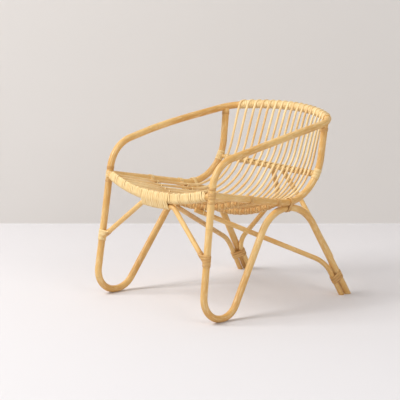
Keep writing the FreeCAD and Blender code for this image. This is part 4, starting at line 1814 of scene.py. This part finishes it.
@dataclass
class PeelWork:
    """Bindings, wraps and rings of peel.

    A turn is given by its width, a group by its close turns and the gap after them, a band by its
    width and thickness, and the band on the brace by its two ends, measured from the brace's end.
    The web is where the centre wrap follows the brace as it leaves the rail.
    """

    lines: ChairLines
    shop: Shop
    binding_turn: float = 8.0
    wrap_turn: float = 6.0
    belt_turn: float = 10.0
    margin: float = 22.0
    end_ahead: float = 5.0
    front_turn: float = 9.6
    front_group: tuple[int, float] = (6, 4.4)
    front_points: int = 24
    centre_turn: float = 11.0
    centre_group: tuple[int, float] = (3, 2.6)
    centre_points: int = 32
    web: float = 30.0
    top_spare: float = 14.0
    top_thick: float = 3.4
    foot_spare: float = 6.0
    arch_width: float = 18.0
    arch_room: float = 1.0
    belt_thick: float = 2.6
    belt_points: int = 30
    leg_wrap_thick: float = 2.2
    leg_wrap_points: int = 26
    brace_band: tuple[float, float] = (38.0, 56.0)
    brace_band_thick: float = 1.2
    stile_wrap: tuple[float, float] = (42.0, 1.4)
    stile_ring: tuple[float, float] = (16.0, 1.4)
    stile_ring_drop: float = 14.0
    side_tie: tuple[float, float] = (18.0, 2.4)
    leg_ring: tuple[float, float] = (12.0, 0.7)
    leg_ring_room: float = 12.0
    lashing: float = 26.0

    def wind(self, name: str, winding: Winding, peel: Peel, nodes: Sequence[str] = ()) -> None:
        """Make one winding.

        Args:
            name: Name of the piece.
            winding: Winding to make.
            peel: Which peel it is.
            nodes: Nodes that it stands for; none for trim.
        """
        strips = [winding.strip()]
        piece = self.shop.strips(name, strips, winding.width, winding.thick, peel)
        self.shop.hand_in(piece, Slot.PEEL, nodes)

    def stand_for(self, node: str, winding: Winding, peel: Peel) -> None:
        """Make one winding in place of its node."""
        self.wind(f"{node}_peel", winding, peel, [node])

    def round_pole(self, radius: float) -> list[Disc]:
        """What a winding on a single pole has inside."""
        return [(Vector(), radius + self.lines.stock.fit)]

    def on_rail(self, bow: Bow, radius: float, turn: float, **lay: object) -> Winding:
        """Winding on a bound rail, which stays bare at its ends.

        Args:
            bow: Axis of the rail.
            radius: Radius of the rail.
            turn: Width of a turn.
            **lay: Other settings of the winding.

        Returns:
            The winding.
        """
        route = bow.route()
        finish = route.length - self.margin
        return Winding(route, self.margin, finish, self.round_pole(radius), turn, **lay)

    def ring(self, route: Route, at: float, width: float, thick: float) -> Winding:
        """Winding on a single pole beside a joint.

        Args:
            route: Axis of the pole.
            at: Length along it of the ring's middle.
            width: Width of the ring.
            thick: Thickness of its peel.

        Returns:
            The winding.
        """
        discs = self.round_pole(self.lines.stock.pole)
        start, finish = at - width / 2, at + width / 2
        return Winding(route, start, finish, discs, self.wrap_turn, thick, ACROSS)

    @staticmethod
    def sleeve(centre: Vector, heading: Vector, width: float, **lay: object) -> Winding:
        """Winding along a straight line, either way from its middle.

        Args:
            centre: Middle of the winding.
            heading: Direction of the line.
            width: Width of the winding.
            **lay: Other settings of the winding.

        Returns:
            The winding.
        """
        axis = Route([centre - heading * width, centre + heading * width])
        return Winding(axis, width / 2, width * 1.5, **lay)

    def spindle_ends(self, route: Route) -> tuple[list[float], Disc]:
        """Where the spindle ends lie on the front rail, and how high.

        Args:
            route: Axis of the front rail.

        Returns:
            Lengths along the rail, and the offset and radius of an end.
        """
        spindles = self.lines.spindles
        lengths = [route.where(ACROSS, x, 0.0, route.length) for x in spindles.places()]
        offset = UPWARDS * spindles.hoop_reach - BACKWARDS * self.end_ahead
        return lengths, (offset, self.lines.stock.spindle)

    def bindings(self) -> None:
        """Bind the rails that cross the chair."""
        stock, rails = self.lines.stock, self.lines.rails
        for node, bow, radius, peel in (
            ("cross_rail_front_binding", rails.cross_front_bow, stock.cross, Peel.HONEY),
            ("cross_rail_rear_binding", rails.cross_rear_bow, stock.cross, Peel.HONEY),
            ("lumbar_rail_binding", rails.lumbar, stock.lumbar, Peel.CREAM),
        ):
            self.stand_for(node, self.on_rail(bow, radius, self.binding_turn), peel)
        ends, end = self.spindle_ends(rails.front.route())
        group, gap = self.front_group
        winding = self.on_rail(
            rails.front, stock.pole, self.front_turn, count=self.front_points, group=group,
            group_gap=gap, bumps=ends, bump=end,
        )
        self.stand_for("front_rail_binding", winding, Peel.CREAM)

    def top_rail(self) -> None:
        """Bind the top rail under the hooks of the spindles."""
        hoop = self.lines.arms.hoop
        half = self.lines.spindles.places()[-1] + self.top_spare
        finish = hoop.where(ACROSS, half, hoop.length / 2, hoop.length * 0.75)
        discs = self.round_pole(self.lines.stock.pole)
        start = hoop.length - finish
        winding = Winding(hoop, start, finish, discs, self.binding_turn, self.top_thick)
        self.stand_for("top_rail_binding", winding, Peel.CREAM)

    def centre_wrap(self) -> None:
        """Wrap the front rail and the middle of the front brace together."""
        stock, brace = self.lines.stock, self.lines.brace
        route = self.lines.rails.front.route()
        discs = [
            (Vector(), stock.pole + stock.layer + stock.rest),
            (UPWARDS * -brace.under, stock.thin + stock.rest),
        ]
        left, right = self.lines.rails.wrapped
        start = route.where(ACROSS, left - self.web, 0.0, route.length)
        finish = route.where(ACROSS, right, 0.0, route.length)
        ends, (offset, radius) = self.spindle_ends(route)
        end = (offset + UPWARDS * (stock.rest + stock.peel), radius)
        group, gap = self.centre_group
        winding = Winding(
            route, start, finish, discs, self.centre_turn, count=self.centre_points, group=group,
            group_gap=gap, bumps=ends, bump=end, beside=brace.route,
        )
        self.stand_for("centre_wrap", winding, Peel.CREAM)

    def belts(self, side: Side) -> None:
        """Wrap the places where several poles lie side by side.

        Args:
            side: Side of the chair.
        """
        stock, legs = self.lines.stock, self.lines.legs
        place = legs.wrap_place
        foot_width = legs.foot_wrap_width + self.foot_spare
        foot = [
            (place, stock.pole),
            (place + legs.stretcher_aside, stock.thin),
            (place + legs.brace_aside, stock.thin),
        ]
        arch = [(legs.arch_seat, stock.pole), (legs.arch_top, stock.pole)]
        for name, poles, way, width, room, upright, peel in (
            ("rear_foot_wrap", foot, legs.rear_up, foot_width, stock.fit, BACKWARDS, Peel.HONEY),
            ("arch_wrap", arch, BACKWARDS, self.arch_width, self.arch_room, UPWARDS, side.peel),
        ):
            centre = side.place(poles[0][0])
            winding = self.sleeve(
                centre,
                side.place(way),
                width,
                discs=[(side.place(point) - centre, radius + room) for point, radius in poles],
                turn=self.belt_turn,
                thick=self.belt_thick,
                upright=upright,
                count=self.belt_points,
            )
            self.stand_for(f"{name}_{side.label}", winding, peel)

    def brace_end(self, side: Side) -> None:
        """Wrap the end of the front brace to its leg, with a band on the brace itself.

        Args:
            side: Side of the chair.
        """
        stock, arms, brace = self.lines.stock, self.lines.arms, self.lines.brace
        down, width = side.place(arms.leg_down), brace.wrap_width
        heading = brace.at_end(side, brace.sunk)[1]
        sink = width / 2 + brace.sunk
        aside = (down - heading / heading.dot(down)) * sink
        winding = self.sleeve(
            side.place(arms.joint),
            down,
            width,
            discs=[*self.round_pole(stock.pole), (aside, stock.thin + stock.fit)],
            turn=self.wrap_turn,
            thick=self.leg_wrap_thick,
            upright=BACKWARDS,
            count=self.leg_wrap_points,
            sink=sink,
        )
        self.stand_for(f"leg_wrap_{side.label}", winding, side.peel)

        band = Route([brace.at_end(side, distance)[0] for distance in self.brace_band])
        discs = self.round_pole(stock.thin)
        winding = Winding(
            band, 0.0, band.length, discs, self.wrap_turn, self.brace_band_thick, BACKWARDS
        )
        self.wind(f"brace_band_{side.label}", winding, Peel.HONEY)

    def rings(self, side: Side) -> None:
        """Wrap single poles beside their joints, and lash the seat corner to its leg.

        Args:
            side: Side of the chair.
        """
        stock, arms, rails = self.lines.stock, self.lines.arms, self.lines.rails
        rail, hoop = arms.side.on(side), arms.hoop
        stile_ring_at = rail.length - stock.pole - self.stile_ring_drop
        corner = (arms.seat_corner - arms.joint).length
        shift = stock.pole + self.leg_ring_room
        upper, middle, lower = (
            place if side is Side.LEFT else hoop.length - place
            for place in (corner + shift, corner, corner - shift)
        )
        for name, route, at, band, peel in (
            ("stile_wrap", rail, rails.lumbar_at, self.stile_wrap, Peel.CREAM),
            ("stile_ring", rail, stile_ring_at, self.stile_ring, Peel.HONEY),
            ("side_tie_front", rail, rails.front_at, self.side_tie, side.peel),
            ("side_tie_rear", rail, rails.rear_at, self.side_tie, side.peel),
            ("leg_ring_upper", hoop, upper, self.leg_ring, Peel.HONEY),
            ("leg_ring_lower", hoop, lower, self.leg_ring, Peel.HONEY),
        ):
            self.stand_for(f"{name}_{side.label}", self.ring(route, at, *band), peel)
        lashing = self.ring(hoop, middle, self.lashing, stock.peel)
        self.wind(f"leg_lashing_{side.label}", lashing, side.peel)

    def build(self) -> None:
        """Make all the peel work."""
        self.bindings()
        self.top_rail()
        self.centre_wrap()
        for side in Side:
            self.belts(side)
            self.brace_end(side)
            self.rings(side)


Crossing = tuple[Vector, Vector, Vector]


@dataclass
class SpindleTies:
    """Crossed ties of peel where spindles and stretchers cross the rails.

    Args:
        lines: Axes of the chair.
        shop: Shop that makes the pieces.
        thick: Thickness of the peel.
        width: Width of the peel.
        lean: Slant of the loops from square to the rail, radians.
        points: Points in one loop.
    """

    lines: ChairLines
    shop: Shop
    thick: float = 1.3
    width: float = 4.6
    lean: float = math.radians(45.0)
    points: int = 22

    def tie(self, name: str, rail: float, cane: float, reach: float) -> bpy.types.Object:
        """Make one tie: two loops on the slant round a rail and a cane across it.

        Args:
            name: Name of the tie.
            rail: Radius of the rail with its binding.
            cane: Radius of the cane.
            reach: Distance between their axes.

        Returns:
            The tie at the origin, rail along X and cane towards Z.
        """
        lift = self.thick / 2
        discs = [
            (0.0, 0.0, (rail + lift) / math.cos(self.lean), rail + lift),
            (0.0, reach, (cane + lift) / math.sin(self.lean), cane + lift),
        ]
        belt = outline(discs, self.points)
        loop = [*belt, belt[0]]
        strips = []
        for sign in (1, -1):
            along = Vector((math.sin(self.lean) * sign, math.cos(self.lean), 0.0))
            points = [along * spot.x + UPWARDS * spot.y for spot, _ in loop]
            outward = [along * way.x + UPWARDS * way.y for _, way in loop]
            strips.append(Strip(points, outward))
        return self.shop.strips(name, strips, self.width, self.thick, Peel.CREAM)

    def row(self, name: str, tie: bpy.types.Object, crossings: Sequence[Crossing]) -> None:
        """Set a tie at each crossing and hand the row in.

        Args:
            name: Name of the piece.
            tie: Tie to repeat; it is removed afterwards.
            crossings: Rail point, rail heading and direction to the cane.
        """
        piece = self.shop.chain(name, [[place] for place, _, _ in crossings])
        self.shop.mark(piece, "rail_way", [heading for _, heading, _ in crossings])
        self.shop.mark(piece, "outward", [way for _, _, way in crossings])
        values = {"Tie": tie, "Finish": self.shop.finishes.peels[Peel.CREAM]}
        self.shop.shape(piece, self.shop.trees.ties, values)
        bpy.data.objects.remove(tie)
        self.shop.hand_in(piece, Slot.PEEL)

    @staticmethod
    def crossing(bow: Bow, x: float, run: Vector, aside: Vector) -> Crossing:
        """Work out where a cane crosses a rail.

        Args:
            bow: Axis of the rail.
            x: Distance of the crossing from the middle of the chair.
            run: Direction of the cane.
            aside: Rough direction from the rail to the cane.

        Returns:
            Rail point, rail heading and direction to the cane.
        """
        heading = bow.heading(x)
        way = heading.cross(run).normalized()
        return bow.at(x), heading, way if way.dot(aside) > 0 else -way

    def spindle_rows(self) -> None:
        """Tie every spindle to the cross rails and the lumbar rail."""
        stock, rails, spindles = self.lines.stock, self.lines.rails, self.lines.spindles
        crossings: dict[str, list[Crossing]] = {"front": [], "rear": [], "lumbar": []}
        for x in spindles.places():
            on_front, on_rear = spindles.seat_points(x)
            run = on_rear - on_front
            corner = on_rear + run.normalized() * spindles.seat_run
            on_lumbar = spindles.back_point(x, corner)
            for name, bow, spot, way in (
                ("front", rails.cross_front_bow, on_front, run),
                ("rear", rails.cross_rear_bow, on_rear, run),
                ("lumbar", rails.lumbar, on_lumbar, on_lumbar - corner),
            ):
                crossings[name].append(self.crossing(bow, x, way, spot - bow.at(x)))
        for name, radius, reach in (
            ("front", stock.cross, spindles.cross_reach),
            ("rear", stock.cross, spindles.cross_reach),
            ("lumbar", stock.lumbar, spindles.lumbar_reach),
        ):
            tie = self.tie(f"spindle_tie_{name}", radius + stock.layer, stock.spindle, reach)
            self.row(f"spindle_ties_{name}", tie, crossings[name])

    def stretcher_row(self) -> None:
        """Tie the stretchers to the front cross rail from below."""
        stock, legs = self.lines.stock, self.lines.legs
        bow = self.lines.rails.cross_front_bow
        crossings = []
        for side in Side:
            run = legs.stretcher.on(side).at(legs.stretcher.length)[1]
            crossings.append(self.crossing(bow, legs.pass_half * side.value, run, -UPWARDS))
        rail = stock.cross + stock.layer
        tie = self.tie("stretcher_tie", rail, stock.thin, rail + stock.thin + stock.rest)
        self.row("stretcher_ties", tie, crossings)

    def build(self) -> None:
        """Make all the ties."""
        self.spindle_rows()
        self.stretcher_row()


# Stage, light and camera


@dataclass(frozen=True)
class PhotoView:
    """Camera at the photograph's place; lengths in metres, lens and sensor in millimetres."""

    azimuth: float = math.radians(49.43)
    elevation: float = math.radians(10.97)
    distance: float = 8.2135
    aim: tuple[float, float, float] = (-0.182, 0.023, 0.3615)
    lens: float = 180.1
    sensor: float = 36.0
    farthest: float = 100.0

    @property
    def level(self) -> Vector:
        """Level direction towards the camera."""
        return Vector((math.sin(self.azimuth), -math.cos(self.azimuth), 0.0))

    @property
    def back(self) -> Vector:
        """Direction from the aim to the camera."""
        return self.level * math.cos(self.elevation) + UPWARDS * math.sin(self.elevation)

    @property
    def right(self) -> Vector:
        """Direction to the right of the picture."""
        return Vector((math.cos(self.azimuth), math.sin(self.azimuth), 0.0))

    def build(self) -> None:
        """Create the camera and make it the scene's own."""
        data = bpy.data.cameras.new("photo_view")
        data.lens = self.lens
        data.sensor_width = self.sensor
        data.clip_end = self.farthest
        camera = bpy.data.objects.new("photo_view", data)
        camera.location = Vector(self.aim) + self.back * self.distance
        camera.rotation_euler = self.back.to_track_quat("Z", "Y").to_euler()
        bpy.context.collection.objects.link(camera)
        bpy.context.scene.camera = camera


@dataclass(frozen=True)
class Lamp:
    """Square soft lamp that faces the chair; lengths in metres.

    Args:
        name: Name of the lamp.
        right: Distance to the right of the view.
        towards: Distance towards the camera.
        height: Height over the floor.
        size: Side of the lamp.
        power: Power in watts.
        aim_height: Height of the place that it faces.
    """

    name: str
    right: float
    towards: float
    height: float
    size: float
    power: float
    aim_height: float = 0.35

    def hang(self, view: PhotoView) -> None:
        """Hang the lamp.

        Args:
            view: View that its place is measured in.
        """
        data = bpy.data.lights.new(self.name, "AREA")
        data.size = self.size
        data.energy = self.power
        lamp = bpy.data.objects.new(self.name, data)
        place = view.right * self.right + view.level * self.towards + UPWARDS * self.height
        lamp.location = place
        way = place - UPWARDS * self.aim_height
        lamp.rotation_euler = way.to_track_quat("Z", "Y").to_euler()
        bpy.context.collection.objects.link(lamp)


@dataclass(frozen=True)
class Studio:
    """Pale floor that turns up into a wall, soft lamps and an even sky; lengths in metres.

    The cove is the radius of the turn. The tone changes between two heights, and the sky has one
    strength as a light and one as it is seen.
    """

    view: PhotoView
    wall_behind: float = 1.26
    cove: float = 0.006
    cove_steps: int = 8
    half_width: float = 7.0
    front: float = 9.5
    wall_height: float = 5.0
    floor_tone: Colour = shade(226, 223, 224)
    wall_tone: Colour = shade(222, 218, 214)
    tone_change: tuple[float, float] = (0.0005, 0.005)
    roughness: float = 0.9
    specular: float = 0.1
    sky: tuple[float, float] = (0.36, 0.8)
    lamps: tuple[Lamp, ...] = (
        Lamp("key_lamp", right=-4.8, towards=1.6, height=5.6, size=3.2, power=415.0),
        Lamp("fill_lamp", right=2.6, towards=4.4, height=3.2, size=2.6, power=80.0),
    )

    def sheet(self) -> None:
        """Make the floor and wall as one bent sheet."""
        middle = Vector((self.view.aim[0], self.view.aim[1], 0.0))
        profile = [(-self.front, 0.0)]
        for number in range(self.cove_steps + 1):
            angle = math.pi / 2 * number / self.cove_steps
            along = self.wall_behind - self.cove + self.cove * math.sin(angle)
            profile.append((along, self.cove * (1 - math.cos(angle))))
        profile.append((self.wall_behind, self.wall_height))
        points = []
        for along, height in profile:
            row = middle - self.view.level * along + UPWARDS * height
            for side in (-self.half_width, self.half_width):
                points.append(tuple(row + self.view.right * side))
        last = len(profile) - 1
        faces = [(2 * row, 2 * row + 1, 2 * row + 3, 2 * row + 2) for row in range(last)]
        mesh = bpy.data.meshes.new("studio_sheet")
        mesh.from_pydata(points, [], faces)
        mesh.materials.append(self.paper())
        sheet = bpy.data.objects.new("studio_sheet", mesh)
        bpy.context.collection.objects.link(sheet)

    def paper(self) -> bpy.types.Material:
        """Matt paper, warm grey on the wall and nearly white on the floor, open from its back.

        Returns:
            The material.
        """
        material = bpy.data.materials.new("studio_paper")
        material.use_nodes = True
        tree = Tree(material.node_tree)
        shader = material.node_tree.nodes["Principled BSDF"]
        place = tree.add("ShaderNodeTexCoord").outputs["Object"]
        height = tree.add("ShaderNodeSeparateXYZ", {0: place}).outputs["Z"]
        share = tree.spread(height, *self.tone_change)
        tree.feed(shader.inputs["Base Color"], tree.blend(share, self.floor_tone, self.wall_tone))
        tree.feed(shader.inputs["Roughness"], self.roughness)
        tree.feed(shader.inputs["Specular IOR Level"], self.specular)
        inputs = {
            0: tree.add("ShaderNodeNewGeometry").outputs["Backfacing"],
            1: shader.outputs["BSDF"],
            2: tree.add("ShaderNodeBsdfTransparent").outputs["BSDF"],
        }
        sides = tree.add("ShaderNodeMixShader", inputs)
        surface = material.node_tree.nodes["Material Output"].inputs["Surface"]
        tree.feed(surface, sides.outputs["Shader"])
        return material

    def build(self) -> None:
        """Set up the sheet, the sky and the lamps."""
        self.sheet()
        world = bpy.data.worlds.new("even_sky")
        world.use_nodes = True
        background = world.node_tree.nodes["Background"]
        tree = Tree(world.node_tree)
        tree.feed(background.inputs["Color"], (1.0, 1.0, 1.0, 1.0))
        rays = tree.add("ShaderNodeLightPath").outputs
        seen = tree.math("ADD", rays["Is Camera Ray"], rays["Is Glossy Ray"])
        tree.feed(background.inputs["Strength"], tree.spread(seen, 0.0, 1.0, *self.sky))
        bpy.context.scene.world = world
        for lamp in self.lamps:
            lamp.hang(self.view)
        bpy.context.scene.view_settings.view_transform = "Standard"


def main() -> None:
    """Load the frame, build the camera, the studio and every sub-assembly, and log each piece's
    faces.
    """
    logging.basicConfig(level=logging.INFO, format="%(name)s: %(message)s")
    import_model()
    view = PhotoView()
    view.build()
    Studio(view).build()
    lines = ChairLines()
    shop = Shop(Finishes())
    for assembly in (Poles, SpindleSeat, PeelWork, SpindleTies):
        assembly(lines, shop).build()


if __name__ == "__main__":
    main()
